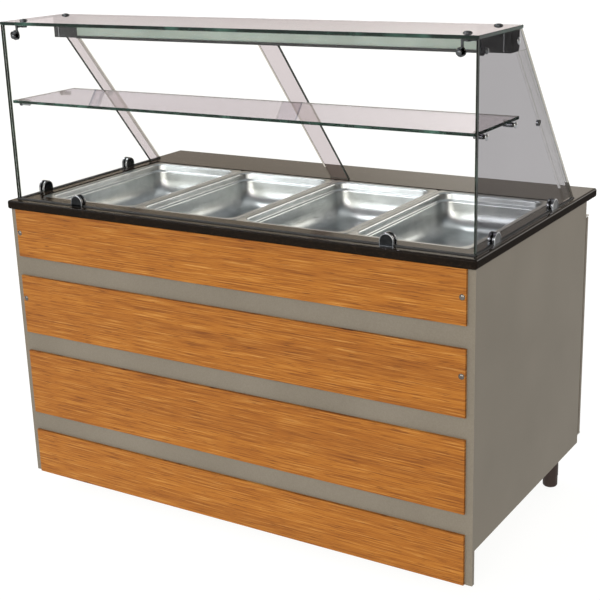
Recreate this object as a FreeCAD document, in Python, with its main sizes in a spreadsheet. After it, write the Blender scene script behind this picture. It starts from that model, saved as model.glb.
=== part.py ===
import FreeCAD, Part
import math
import os
import re
import Sketcher

# Refrigerated buffet counter: a chilled well with four lift-out pans in a black worktop, under a glass
# guard with a shelf and a lamp, on a cabinet with a planked front and two doors at the back.
# Frame: floor at Z 0, the counter's middle at X 0 and Y 0, customers stand at -Y. Lengths in millimetres.

SIZES = {
    # The worktop and the cabinet under it
    "counter_height": 860,
    "worktop_thickness": 24,
    "worktop_round": 6,
    "side_overhang": 5,
    "front_overhang": 11,
    "rear_overhang": 67,
    "side_thickness": 25,
    "front_thickness": 12,
    "base_thickness": 25,
    "front_clearance": 37,
    "side_clearance": 128,
    # Planks on the front, and their screws
    "plank_thickness": 8,
    "plank_margin": 20,
    "plank_gap": 56,
    "plank_round": 1.5,
    "screw_radius": 7.5,
    "screw_height": 3,
    "screw_round": 2.5,
    "screw_inset": 10,
    "screw_drop": 67,
    # Pans, and the worktop's opening for them
    "pan_length": 530,
    "pan_width": 325,
    "pan_spacing": 3,
    "pan_depth": 100,
    "pan_sheet": 1.2,
    "pan_flange": 15,
    "pan_corner": 30,
    "pan_rim_corner": 14,
    "pan_floor_round": 14,
    "pan_front_margin": 83,
    "pan_rear_margin": 192,
    "opening_clearance": 3,
    "opening_corner": 8,
    # Well under the pans, its foam and its coil
    "ledge_drop": 4,
    "ledge_width": 12,
    "liner_sheet": 1.5,
    "liner_flange": 10,
    "well_depth": 165,
    "well_corner": 10,
    "seat_clearance": 0.5,
    "bar_width": 14,
    "bar_height": 12,
    "insulation_thickness": 28,
    "foam_clearance": 3.5,
    "coil_space": 10,
    "coil_radius": 4,
    "coil_end_margin": 51,
    "coil_side_margin": 46,
    "rest_gap": 0.3,
    # Drain under the well
    "drain_radius": 16,
    "drain_wall": 3,
    "drain_drop": 70,
    "valve_radius": 22,
    "valve_height": 36,
    "valve_gap": 12,
    "valve_stem_radius": 4,
    "valve_stem_length": 14,
    "lever_hub_radius": 9,
    "lever_thickness": 6,
    "lever_length": 70,
    "lever_width": 12,
    # Glass guard
    "glass_thickness": 8,
    "glass_rise": 478,
    "glass_front_inset": 28,
    "glass_side_inset": 15,
    "glass_rear_margin": 142,
    "top_glass_depth": 249,
    "top_glass_lip": 2,
    "shelf_rise": 267,
    "shelf_depth": 250,
    "shelf_setback": 2,
    "shelf_clearance": 1,
    "strut_width": 62,
    "strut_gap": 10,
    "fin_width": 50,
    # Lamp under the top pane
    "lamp_depth": 50,
    "lamp_height": 52,
    "lamp_wall": 2,
    "lamp_end_length": 82,
    "lamp_round": 10,
    "diffuser_thickness": 3,
    "diffuser_setback": 2,
    "tube_radius": 8,
    # Chrome fittings of the glass
    "clamp_radius": 19,
    "clamp_rise": 12,
    "clamp_cheek": 6,
    "clamp_front_offset": 473,
    "clamp_side_front": 141,
    "clamp_side_rear": 102,
    "dome_radius": 11,
    "dome_height": 5,
    "stud_radius": 4,
    "hole_clearance": 0.5,
    "corner_inset": 44,
    "hub_radius": 8,
    "hub_height": 10,
    "arm_radius": 4,
    "stalk_radius": 3.2,
    "pad_radius": 11,
    "pad_thickness": 6,
    "pad_drop": 29,
    "rear_stud_inset": 13,
    "pin_radius": 6,
    "pin_reach": 22,
    "pin_inset": 42,
    "pin_cap_radius": 8,
    "pin_cap_height": 5,
    "clip_radius": 8,
    "clip_length": 6,
    "clip_inset": 11,
    "clip_rise": 235,
    # Rear frame and doors
    "frame_depth": 25,
    "frame_post": 22,
    "mullion_width": 30,
    "frame_rail": 30,
    "frame_head": 190,
    "bay_width": 390,
    "partition_thickness": 15,
    "door_inset": 0,
    "door_gap": 4,
    "door_thickness": 20,
    "door_bottom_gap": 25,
    "door_top_gap": 47,
    "door_chamfer": 8,
    "gasket_thickness": 6,
    "gasket_width": 14,
    "gasket_clearance": 1,
    "plug_clearance": 5,
    "plug_depth": 20,
    "hinge_inset": 10,
    "hinge_pin_radius": 3,
    "hinge_pin_length": 15,
    "running_clearance": 0.05,
    "bracket_thickness": 4,
    "bracket_gap": 1,
    "bracket_half_width": 9,
    "grip_width": 30,
    "grip_height": 160,
    "grip_depth": 9,
    "grip_margin": 16,
    # Machine panel and its controls
    "panel_sheet": 3,
    "panel_lip": 15,
    "louvre_height": 8,
    "louvre_pitch": 22,
    "louvre_margin": 55,
    "louvre_start": 60,
    "control_width": 200,
    "control_height": 60,
    "control_thickness": 3,
    "control_drop": 70,
    "control_overlap": 8,
    "control_block_depth": 16,
    "button_radius": 5,
    "button_proud": 2.5,
    "button_length": 10,
    "button_travel": 1.5,
    "button_spacing": 18,
    "button_offset": 20,
    "rocker_width": 14,
    "rocker_length": 22,
    "rocker_clearance": 0.8,
    "rocker_depth": 8,
    "rocker_room": 3,
    "rocker_proud": 2.5,
    "rocker_round": 3,
    "rocker_pin_radius": 1.5,
    "rocker_pin_length": 2,
    "rocker_pivot_depth": 5,
    "rocker_spacing": 26,
    "rocker_offset": 40,
    # Feet
    "sleeve_radius": 22,
    "foot_radius": 21,
    "foot_height": 34,
    "foot_round": 7,
    "stem_radius": 12,
    "stem_length": 70,
    "foot_inset_side": 60,
    "foot_front_setback": 45,
    "foot_inset_rear": 46,
    "foot_inset_front": 130,
    # Shelf in the reserve
    "shelf_tray_height": 22,
    "tray_sheet": 2,
    "tray_margin": 12,
    "tray_rise": 200,
    "tray_rear_gap": 110,
    "tray_leg": 24,
    "tray_front_gap": 60,
    # Cooling machine
    "compressor_radius": 78,
    "compressor_height": 190,
    "compressor_round": 40,
    "compressor_foot": 8,
    "compressor_skirt": 12,
    "compressor_setback": 300,
    "condenser_width": 300,
    "condenser_height": 240,
    "condenser_depth": 40,
    "condenser_gap": 12,
    "condenser_plate": 3,
    "fin_thickness": 1.2,
    "condenser_tube_radius": 5,
    "fan_gap": 8,
    "fan_frame_depth": 24,
    "fan_frame_size": 230,
    "fan_frame_rim": 10,
    "fan_tip_gap": 4,
    "fan_hub_radius": 24,
    "blade_thickness": 2.5,
    "blade_depth": 20,
    "blade_chord": 34,
    "motor_radius": 34,
    "motor_length": 55,
    "motor_shaft_radius": 4,
    "motor_arm_width": 14,
    "pipe_radius": 5,
    "pipe_bend": 24,
    "pipe_run_length": 90,
    "pipe_offset": 26,
    # How far every cut runs past the piece
    "cut_overrun": 5,
}

FIN_COUNT = 22
CONDENSER_TUBES = 4
BLADE_COUNT = 5
BLADE_PITCH_DEGREES = 32
LOUVRE_COUNT = 12
PAN_COUNT = 4
COIL_RUNS = 8
# How the planks share the height that their gaps leave on the front
plank_shares = (0.214, 0.269, 0.304, 0.213)
OVERRUN = "cut_overrun"

doc = FreeCAD.newDocument("buffet_counter")
sheet = doc.addObject("Spreadsheet::Sheet", "sizes")
for row, (alias, value) in enumerate(SIZES.items(), 1):
    sheet.set(f"A{row}", alias)
    sheet.set(f"B{row}", str(value))
    sheet.setAlias(f"B{row}", alias)
doc.recompute()

# How near counts as on a plane, as a share of the counter's height
touch_share = 1e-7
nodes = []
AXES = {"x": (1, 0, 0), "-x": (-1, 0, 0), "y": (0, 1, 0), "-y": (0, -1, 0), "z": (0, 0, 1), "-z": (0, 0, -1)}


def size(alias):
    return float(sheet.get(alias))


def ref(text):
    """Turns the plain names of sizes into references to the sheet."""
    return re.sub(r"[a-z][a-z_]*", lambda word: f"sizes.{word[0]}" if word[0] in SIZES else word[0], text)


def number(formula):
    """What a formula of sizes comes to now."""
    return float(sheet.evalExpression(ref(formula)))


def bind(thing, **formulas):
    for name, formula in formulas.items():
        thing.setExpression(name, ref(formula))


def place(thing, x="0", y="0", z="0"):
    for axis, formula in zip("xyz", (x, y, z)):
        thing.setExpression(f"Placement.Base.{axis}", ref(formula))
    return thing


def keep(thing, label):
    """Names a finished sub-part, which is then written to its own file."""
    thing.Label = label
    nodes.append(thing)
    return thing


def block(name, x, y, z):
    """A box from its low and high limits along each axis."""
    thing = doc.addObject("Part::Box", name)
    for side, (low, high) in zip(("Length", "Width", "Height"), (x, y, z)):
        thing.setExpression(side, ref(f"({high}) - ({low})"))
    return place(thing, x[0], y[0], z[0])


def rod(name, radius, length, start, axis="z"):
    thing = doc.addObject("Part::Cylinder", name)
    bind(thing, Radius=radius, Height=length)
    thing.Placement.Rotation = FreeCAD.Rotation(FreeCAD.Vector(0, 0, 1), FreeCAD.Vector(AXES[axis]))
    return place(thing, *start)


def dome(name, radius, height, start, axis="z"):
    """Half an ellipsoid that stands on a flat face."""
    thing = doc.addObject("Part::Ellipsoid", name)
    bind(thing, Radius1=height, Radius2=radius, Radius3=radius)
    thing.Angle1 = 0
    thing.Placement.Rotation = FreeCAD.Rotation(FreeCAD.Vector(0, 0, 1), FreeCAD.Vector(AXES[axis]))
    return place(thing, *start)


def cut(name, base, tools):
    thing = doc.addObject("Part::Cut", name)
    thing.Base = base
    thing.Tool = tools[0] if len(tools) == 1 else join(name + "_tools", tools)
    return thing


def join(name, pieces):
    thing = doc.addObject("Part::MultiFuse", name)
    thing.Shapes = pieces
    return thing


def group(name, pieces):
    thing = doc.addObject("Part::Compound", name)
    thing.Links = pieces
    return thing


def edges_at(shape, axis, high):
    """Edges that lie on the shape's lowest or highest plane across an axis."""
    near = touch_share * size("counter_height")
    limit = getattr(shape.BoundBox, axis + ("Max" if high else "Min"))
    found = []
    for index, edge in enumerate(shape.Edges, 1):
        ends = (getattr(edge.BoundBox, axis + "Min"), getattr(edge.BoundBox, axis + "Max"))
        if all(abs(end - limit) < near for end in ends):
            found.append(index)
    return found


def uprights(shape):
    return edges_along(shape, "Z")


def bottoms(shape):
    return edges_at(shape, "Z", False)


def backs(shape):
    return edges_at(shape, "Y", True)


def edges_along(shape, axis):
    """Straight edges that run along an axis."""
    near = touch_share * size("counter_height")
    lengths = [(getattr(edge.BoundBox, axis + "Length"), edge.Length) for edge in shape.Edges]
    return [i for i, (along, whole) in enumerate(lengths, 1) if abs(along - whole) < near]


def eased(name, base, alias, pick, kind="Part::Fillet", across="XYZ"):
    """Rounds or bevels the picked edges, by no more than the piece's own room across them allows."""
    doc.recompute([base])
    room_share = 0.49
    room = min(getattr(base.Shape.BoundBox, axis + "Length") for axis in across)
    radius = min(size(alias), room_share * room)
    thing = doc.addObject(kind, name)
    thing.Base = base
    thing.Edges = [(index, radius, radius) for index in sorted(set(pick(base.Shape)))]
    return thing


def sketch_on(body, role, name, offset):
    sketch = body.newObject("Sketcher::SketchObject", name)
    plane = next(item for item in body.Origin.OriginFeatures if item.Role == role)
    sketch.AttachmentSupport = [(plane, "")]
    sketch.MapMode = "FlatFace"
    sketch.setExpression("AttachmentOffset.Base.z", ref(offset))
    return sketch


def draw(sketch, corners):
    """A closed outline with each corner bound to its two formulas."""
    turn = 2 * math.pi / len(corners)
    start = [FreeCAD.Vector(math.cos(turn * i), math.sin(turn * i), 0) for i in range(len(corners))]
    for i, point in enumerate(start):
        sketch.addGeometry(Part.LineSegment(point, start[(i + 1) % len(corners)]))
    for i in range(len(corners)):
        sketch.addConstraint(Sketcher.Constraint("Coincident", i, 2, (i + 1) % len(corners), 1))
    for i, (point, corner) in enumerate(zip(start, corners)):
        for kind, value, formula in zip(("DistanceX", "DistanceY"), point, corner):
            number = sketch.addConstraint(Sketcher.Constraint(kind, i, 1, value))
            sketch.setExpression(f"Constraints[{number}]", ref(formula))


def slab(name, role, corners, low, depth):
    """A flat piece: an outline on one of its own planes, pushed out by its depth."""
    body = doc.addObject("PartDesign::Body", name)
    sketch = sketch_on(body, role, name + "_outline", low)
    draw(sketch, corners)
    pad = body.newObject("PartDesign::Pad", name + "_pad")
    pad.Profile = sketch
    bind(pad, Length=depth)
    return body


def turned(name, corners):
    """A round piece: half its section, as radius and height, turned about the upright axis."""
    body = doc.addObject("PartDesign::Body", name)
    sketch = sketch_on(body, "XZ_Plane", name + "_section", "0")
    draw(sketch, corners)
    lathe = body.newObject("PartDesign::Revolution", name + "_turn")
    lathe.Profile = sketch
    lathe.ReferenceAxis = (sketch, ["V_Axis"])
    lathe.Angle = 360
    return body


def bent_tube(label, points, bend, radius):
    """A tube along straight runs joined by tangent arcs."""
    corners = [FreeCAD.Vector(*point) for point in points]
    edges = []
    begin = corners[0]
    for before, corner, after in zip(corners, corners[1:], corners[2:]):
        back = (before - corner).normalize()
        ahead = (after - corner).normalize()
        half = back.getAngle(ahead) / 2
        reach = bend / math.tan(half)
        middle = (back + ahead).normalize() * (bend / math.sin(half) - bend)
        edges.append(Part.LineSegment(begin, corner + back * reach).toShape())
        edges.append(Part.Arc(corner + back * reach, corner + middle, corner + ahead * reach).toShape())
        begin = corner + ahead * reach
    edges.append(Part.LineSegment(begin, corners[-1]).toShape())
    path = Part.Wire(edges)
    ring = Part.Wire(Part.makeCircle(radius, corners[0], corners[1] - corners[0]))
    thing = doc.addObject("Part::Feature", label)
    thing.Shape = path.makePipeShell([ring], True, False)
    return thing


# Places that several pieces share, as formulas of the sizes

PITCH = "(pan_width + pan_spacing)"
OPEN_X = f"({PAN_COUNT / 2} * {PITCH} + opening_clearance)"
TUB_X = f"({OPEN_X} - ledge_width)"
FOAM_X = f"({TUB_X} + liner_sheet + insulation_thickness)"
INSIDE = f"({FOAM_X} + foam_clearance)"
CABINET = f"({INSIDE} + side_thickness)"
HALF = f"({CABINET} + side_overhang)"

DEPTH = "(pan_front_margin + pan_length + pan_rear_margin)"
FRONT = f"(-{DEPTH} / 2)"
REAR = f"({DEPTH} / 2)"
TOP = "counter_height"
UNDER = "(counter_height - worktop_thickness)"
FACE = f"({FRONT} + front_overhang)"
FACE_BACK = f"({FACE} + front_thickness)"
BACK = f"({REAR} - rear_overhang)"
FLOOR = "side_clearance"
BASE_TOP = "(side_clearance + base_thickness)"

PAN_FRONT = f"({FRONT} + pan_front_margin)"
PAN_REAR = f"({PAN_FRONT} + pan_length)"
PAN_MIDDLE = f"({PAN_FRONT} + pan_length / 2)"
LEDGE = "(counter_height - ledge_drop)"
OPEN_FRONT = f"({PAN_FRONT} - opening_clearance)"
OPEN_REAR = f"({PAN_REAR} + opening_clearance)"
TUB_FRONT = f"({OPEN_FRONT} + ledge_width)"
TUB_REAR = f"({OPEN_REAR} - ledge_width)"
WELL_FLOOR = "(counter_height - well_depth)"
FOAM_FLOOR = f"({WELL_FLOOR} - coil_space - insulation_thickness)"

PANE_FACE = f"({FRONT} + glass_front_inset)"
PANE_BACK = f"({PANE_FACE} + glass_thickness)"
PANE_OUT = f"({HALF} - glass_side_inset)"
PANE_IN = f"({PANE_OUT} - glass_thickness)"
PANE_TOP = "(counter_height + glass_rise)"
TOP_REAR = f"({PANE_FACE} + top_glass_depth)"
SHELF_FRONT = f"({PANE_BACK} + shelf_setback)"
SHELF_UNDER = "(counter_height + shelf_rise)"
LAMP_FRONT = f"({TOP_REAR} - lamp_depth)"
LAMP_UNDER = f"({PANE_TOP} - lamp_height)"
LAMP_END = f"({PANE_IN} - seat_clearance)"
LAMP_HALF = f"({LAMP_END} - lamp_end_length)"

SPLIT = f"(-{INSIDE} + bay_width)"
MIDDLE = f"(({SPLIT} + {INSIDE}) / 2)"
DOOR_LOW = "(side_clearance + door_bottom_gap)"
DOOR_HIGH = f"({UNDER} - door_top_gap)"
DOOR_IN = f"({BACK} + gasket_thickness)"
DOOR_OUT = f"({DOOR_IN} + door_thickness)"
DOOR_SIDE = f"({CABINET} - door_inset)"
GATE_LOW = f"({BASE_TOP} + frame_rail)"
GATE_HIGH = f"({UNDER} - frame_head)"
HINGE_Y = f"({DOOR_IN} + door_thickness / 2)"


def minus(formula):
    return f"-({formula})"


def span(formula):
    """The same distance to both sides of the middle."""
    return minus(formula), formula


def worktop():
    slab_block = block("worktop_slab", span(HALF), (FRONT, REAR), (UNDER, TOP))
    rounded = eased("worktop_rounded", slab_block, "worktop_round",
                    lambda shape: range(1, len(shape.Edges) + 1))
    hole = block("worktop_hole", span(OPEN_X), (OPEN_FRONT, OPEN_REAR),
                 (f"{UNDER} - {OVERRUN}", f"{TOP} + {OVERRUN}"))
    soft_hole = eased("worktop_soft_hole", hole, "opening_corner", uprights)
    keep(cut("worktop_cut", rounded, [soft_hole]), "worktop")


def cabinet():
    keep(block("left_board", (minus(CABINET), minus(INSIDE)), (FACE_BACK, BACK), (FLOOR, UNDER)),
         "left_side_panel")
    keep(block("right_board", (INSIDE, CABINET), (FACE_BACK, BACK), (FLOOR, UNDER)), "right_side_panel")
    keep(block("front_board", span(CABINET), (FACE, FACE_BACK), ("front_clearance", UNDER)), "front_panel")
    keep(block("base_board", span(INSIDE), (FACE_BACK, BACK), (FLOOR, BASE_TOP)), "base_panel")


def planks():
    """Four bamboo planks, proud of the front panel, and the round-headed screws of the upper two."""
    half = f"({CABINET} - plank_margin)"
    space = f"({UNDER} - front_clearance - {len(plank_shares) - 1} * plank_gap)"
    screws = []
    high = UNDER
    labels = ("plank_top", "plank_upper", "plank_lower", "plank_bottom")
    for label, share in zip(labels, plank_shares):
        low = f"({high} - {share} * {space})"
        board = block(label + "_board", span(half), (f"{FACE} - plank_thickness", FACE), (low, high))
        soft = eased(label + "_soft", board, "plank_round", lambda shape: edges_at(shape, "Y", False))
        keep(soft, label)
        if label in ("plank_top", "plank_upper"):
            for side in (minus(f"{half} - screw_inset"), f"{half} - screw_inset"):
                start = (side, f"{FACE} - plank_thickness", f"{high} - screw_drop")
                head = rod("plank_screw_head", "screw_radius", "screw_height", start, "-y")
                screws.append(eased("plank_screw", head, "screw_round",
                                    lambda shape: edges_at(shape, "Y", False)))
        high = f"({low} - plank_gap)"
    keep(group("plank_screw_set", screws), "plank_screws")


def well():
    """Stainless tub that hangs under the worktop, its foam jacket, and the bars between the pans."""
    out_x = f"({TUB_X} + liner_sheet)"
    out_front = f"({TUB_FRONT} - liner_sheet)"
    out_rear = f"({TUB_REAR} + liner_sheet)"
    lips = []
    for name, reach, high in (("ledge", "-seat_clearance", LEDGE), ("flange", "liner_flange", UNDER)):
        lip = block(f"liner_{name}", span(f"{OPEN_X} + {reach}"),
                    (f"{OPEN_FRONT} - ({reach})", f"{OPEN_REAR} + {reach}"),
                    (f"{high} - liner_sheet", high))
        lips.append(eased(f"liner_soft_{name}", lip, "opening_corner", uprights, across="XY"))
    tub = block("liner_tub", span(out_x), (out_front, out_rear), (WELL_FLOOR, LEDGE))
    hollow = block("liner_hollow", span(TUB_X), (TUB_FRONT, TUB_REAR),
                   (f"{WELL_FLOOR} + liner_sheet", f"{TOP} + {OVERRUN}"))
    soft_hollow = eased("liner_soft_hollow", hollow, "well_corner",
                        lambda shape: uprights(shape) + bottoms(shape))
    outlet = rod("liner_outlet", "drain_radius + seat_clearance", f"2 * {OVERRUN}",
                 ("0", PAN_MIDDLE, f"{WELL_FLOOR} - {OVERRUN}"))
    keep(cut("liner_cut", join("liner_shell", lips + [tub]), [soft_hollow, outlet]), "well_liner")

    foam = block("foam_block", span(FOAM_X),
                 (f"{out_front} - insulation_thickness", f"{out_rear} + insulation_thickness"),
                 (FOAM_FLOOR, f"{UNDER} - liner_sheet"))
    nest = block("foam_nest", span(out_x), (out_front, out_rear),
                 (f"{WELL_FLOOR} - coil_space", f"{UNDER} + {OVERRUN}"))
    duct = rod("foam_duct", "drain_radius + seat_clearance", f"insulation_thickness + 2 * {OVERRUN}",
               ("0", PAN_MIDDLE, f"{FOAM_FLOOR} - {OVERRUN}"))
    keep(cut("foam_cut", foam, [nest, duct]), "well_insulation")

    bars = []
    for i in range(1, PAN_COUNT):
        middle = f"({i - PAN_COUNT / 2} * {PITCH})"
        bars.append(block("pan_bar", (f"{middle} - bar_width / 2", f"{middle} + bar_width / 2"),
                          (TUB_FRONT, TUB_REAR), (f"{LEDGE} - bar_height", LEDGE)))
    keep(group("pan_bar_set", bars), "pan_bars")


def coil():
    """Copper cooling tube that winds to and fro under the tub."""
    reach = number(f"{TUB_X} - coil_end_margin")
    low = number(f"{TUB_FRONT} + coil_side_margin")
    step = number(f"({TUB_REAR} - {TUB_FRONT} - 2 * coil_side_margin) / {COIL_RUNS - 1}")
    height = number(f"{WELL_FLOOR} - coil_radius - rest_gap")
    points = []
    for run in range(COIL_RUNS):
        ends = (-reach, reach) if run % 2 == 0 else (reach, -reach)
        points += [(end, low + run * step, height) for end in ends]
    bend_share = 0.48
    keep(bent_tube("coil_tube", points, bend_share * step, size("coil_radius")), "evaporator_coil")


def drain():
    """Outlet under the well with a ball valve, shut at rest, and the lever that turns it."""
    floor = f"({FOAM_FLOOR} - drain_drop)"
    middle = f"({floor} + valve_gap + valve_height / 2)"
    tube = rod("drain_tube", "drain_radius", f"{WELL_FLOOR} + liner_sheet - {floor}",
               ("0", PAN_MIDDLE, floor))
    body = rod("drain_valve", "valve_radius", "valve_height", ("0", PAN_MIDDLE, f"{floor} + valve_gap"))
    stem = rod("drain_stem", "valve_stem_radius", "valve_radius + valve_stem_length",
               ("0", PAN_MIDDLE, middle), "y")
    upper = rod("drain_upper_bore", "drain_radius - drain_wall", "well_depth",
                ("0", PAN_MIDDLE, f"{floor} + valve_gap + valve_height"))
    lower = rod("drain_lower_bore", "drain_radius - drain_wall", f"valve_gap + {OVERRUN}",
                ("0", PAN_MIDDLE, f"{floor} - {OVERRUN}"))
    keep(cut("drain_cut", join("drain_shell", [tube, body, stem]), [upper, lower]), "drain_spout")

    near = f"({PAN_MIDDLE} + valve_radius + rest_gap)"
    hub = rod("lever_hub", "lever_hub_radius", "lever_thickness", ("0", near, middle), "y")
    bar = block("lever_bar", ("0", "lever_length"), (near, f"{near} + lever_thickness"),
                (f"{middle} - lever_width / 2", f"{middle} + lever_width / 2"))
    eye = rod("lever_eye", "valve_stem_radius + running_clearance", f"lever_thickness + 2 * {OVERRUN}",
              ("0", f"{near} - {OVERRUN}", middle), "y")
    keep(cut("lever_cut", join("lever_shape", [hub, bar]), [eye]), "drain_lever")


def pans():
    """Four gastronorm pans: drawn tubs with round corners and a flat rim that rests on the ledge."""
    for i in range(PAN_COUNT):
        label = f"pan_{i + 1}"
        middle = f"({i - (PAN_COUNT - 1) / 2} * {PITCH})"
        rim = block(label + "_rim", (f"{middle} - pan_width / 2", f"{middle} + pan_width / 2"),
                    (PAN_FRONT, PAN_REAR), (LEDGE, f"{LEDGE} + pan_sheet"))
        soft_rim = eased(label + "_soft_rim", rim, "pan_rim_corner", uprights, across="XY")
        shells = []
        for name, inset, low, high in (("tub", "pan_flange", "0", "pan_sheet"),
                                       ("hollow", "pan_flange + pan_sheet", "pan_sheet",
                                        f"pan_sheet + {OVERRUN}")):
            shell = block(f"{label}_{name}",
                          (f"{middle} - pan_width / 2 + {inset}", f"{middle} + pan_width / 2 - ({inset})"),
                          (f"{PAN_FRONT} + {inset}", f"{PAN_REAR} - ({inset})"),
                          (f"{LEDGE} + pan_sheet - pan_depth + {low}", f"{LEDGE} + {high}"))
            upright = eased(f"{label}_{name}_upright", shell, "pan_corner", uprights)
            shells.append(eased(f"{label}_{name}_soft", upright, "pan_floor_round", bottoms))
        keep(cut(label + "_cut", join(label + "_shape", [soft_rim, shells[0]]), [shells[1]]), label)


def glass_guard():
    """The panes: front, two sides with a slanted back edge, top, shelf, a strut and two fins."""
    keep(block("front_pane", span(PANE_OUT), (PANE_FACE, PANE_BACK), (TOP, PANE_TOP)), "front_glass")
    corners = [(PANE_BACK, TOP), (f"{REAR} - glass_rear_margin", TOP), (TOP_REAR, PANE_TOP),
               (PANE_BACK, PANE_TOP)]
    for label, low in (("left_side_glass", minus(PANE_OUT)), ("right_side_glass", PANE_IN)):
        pane = slab(label + "_pane", "YZ_Plane", corners, low, "glass_thickness")
        holes = [rod(label + "_hole", "stud_radius + hole_clearance", f"glass_thickness + 2 * {OVERRUN}",
                     (f"{low} - {OVERRUN}", y, f"{SHELF_UNDER} - pin_radius - rest_gap"),
                     "x") for y in pin_places()]
        keep(cut(label + "_cut", pane, holes), label)
    top = block("top_pane", span(f"{PANE_OUT} + top_glass_lip"), (PANE_FACE, TOP_REAR),
                (PANE_TOP, f"{PANE_TOP} + glass_thickness"))
    holes = [rod("top_hole", "stud_radius + hole_clearance", f"glass_thickness + 2 * {OVERRUN}",
                 (x, y, f"{PANE_TOP} - {OVERRUN}")) for x, y in stud_places()]
    keep(cut("top_pane_cut", top, holes), "top_glass")
    keep(block("shelf_pane", span(f"{PANE_IN} - shelf_clearance"),
               (SHELF_FRONT, f"{SHELF_FRONT} + shelf_depth"),
               (SHELF_UNDER, f"{SHELF_UNDER} + glass_thickness")), "shelf_glass")

    foot = f"({OPEN_REAR} + strut_gap)"
    rise = f"({LAMP_UNDER} - {TOP})"
    slope = f"(({foot} - {TOP_REAR}) / {rise})"
    run = f"(glass_thickness * sqrt(1 + {slope} ^ 2))"
    corners = [(foot, TOP), (f"{foot} + {run}", TOP), (TOP_REAR, LAMP_UNDER),
               (f"{TOP_REAR} - {run}", LAMP_UNDER)]
    struts = [slab("strut_middle", "YZ_Plane", corners, "-strut_width / 2", "strut_width")]

    # Fins: strips that double the side panes along their slanted back edges
    back = f"({REAR} - glass_rear_margin)"
    lean = f"(({back} - {TOP_REAR}) / glass_rise)"
    high = f"({TOP_REAR} + lamp_height * {lean})"
    corners = [(f"{back} - fin_width", TOP), (back, TOP), (high, LAMP_UNDER), (f"{high} - fin_width", LAMP_UNDER)]
    for name, low in (("left", minus(PANE_IN)), ("right", f"{PANE_IN} - glass_thickness")):
        struts.append(slab(f"fin_{name}", "YZ_Plane", corners, low, "glass_thickness"))
    keep(group("strut_set", struts), "rear_struts")

    clips = []
    clip_y = f"({back} - clip_rise * {lean} - fin_width + clip_inset)"
    for side, axis in ((minus(PANE_IN) + " + glass_thickness", "x"), (f"{PANE_IN} - glass_thickness", "-x")):
        clips.append(rod("strut_clip", "clip_radius", "clip_length", (side, clip_y, f"{TOP} + clip_rise"),
                         axis))
    keep(group("strut_clip_set", clips), "strut_clips")


def pin_places():
    return f"{SHELF_FRONT} + pin_inset", f"{SHELF_FRONT} + shelf_depth - pin_inset"


def stud_places():
    """Where the studs pass the top pane: two at the front corners, two into the lamp's end boxes."""
    side = f"({PANE_OUT} - corner_inset)"
    rows = (f"{PANE_FACE} + corner_inset", f"{LAMP_FRONT} + rear_stud_inset")
    return [(x, y) for y in rows for x in (minus(side), side)]


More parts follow.
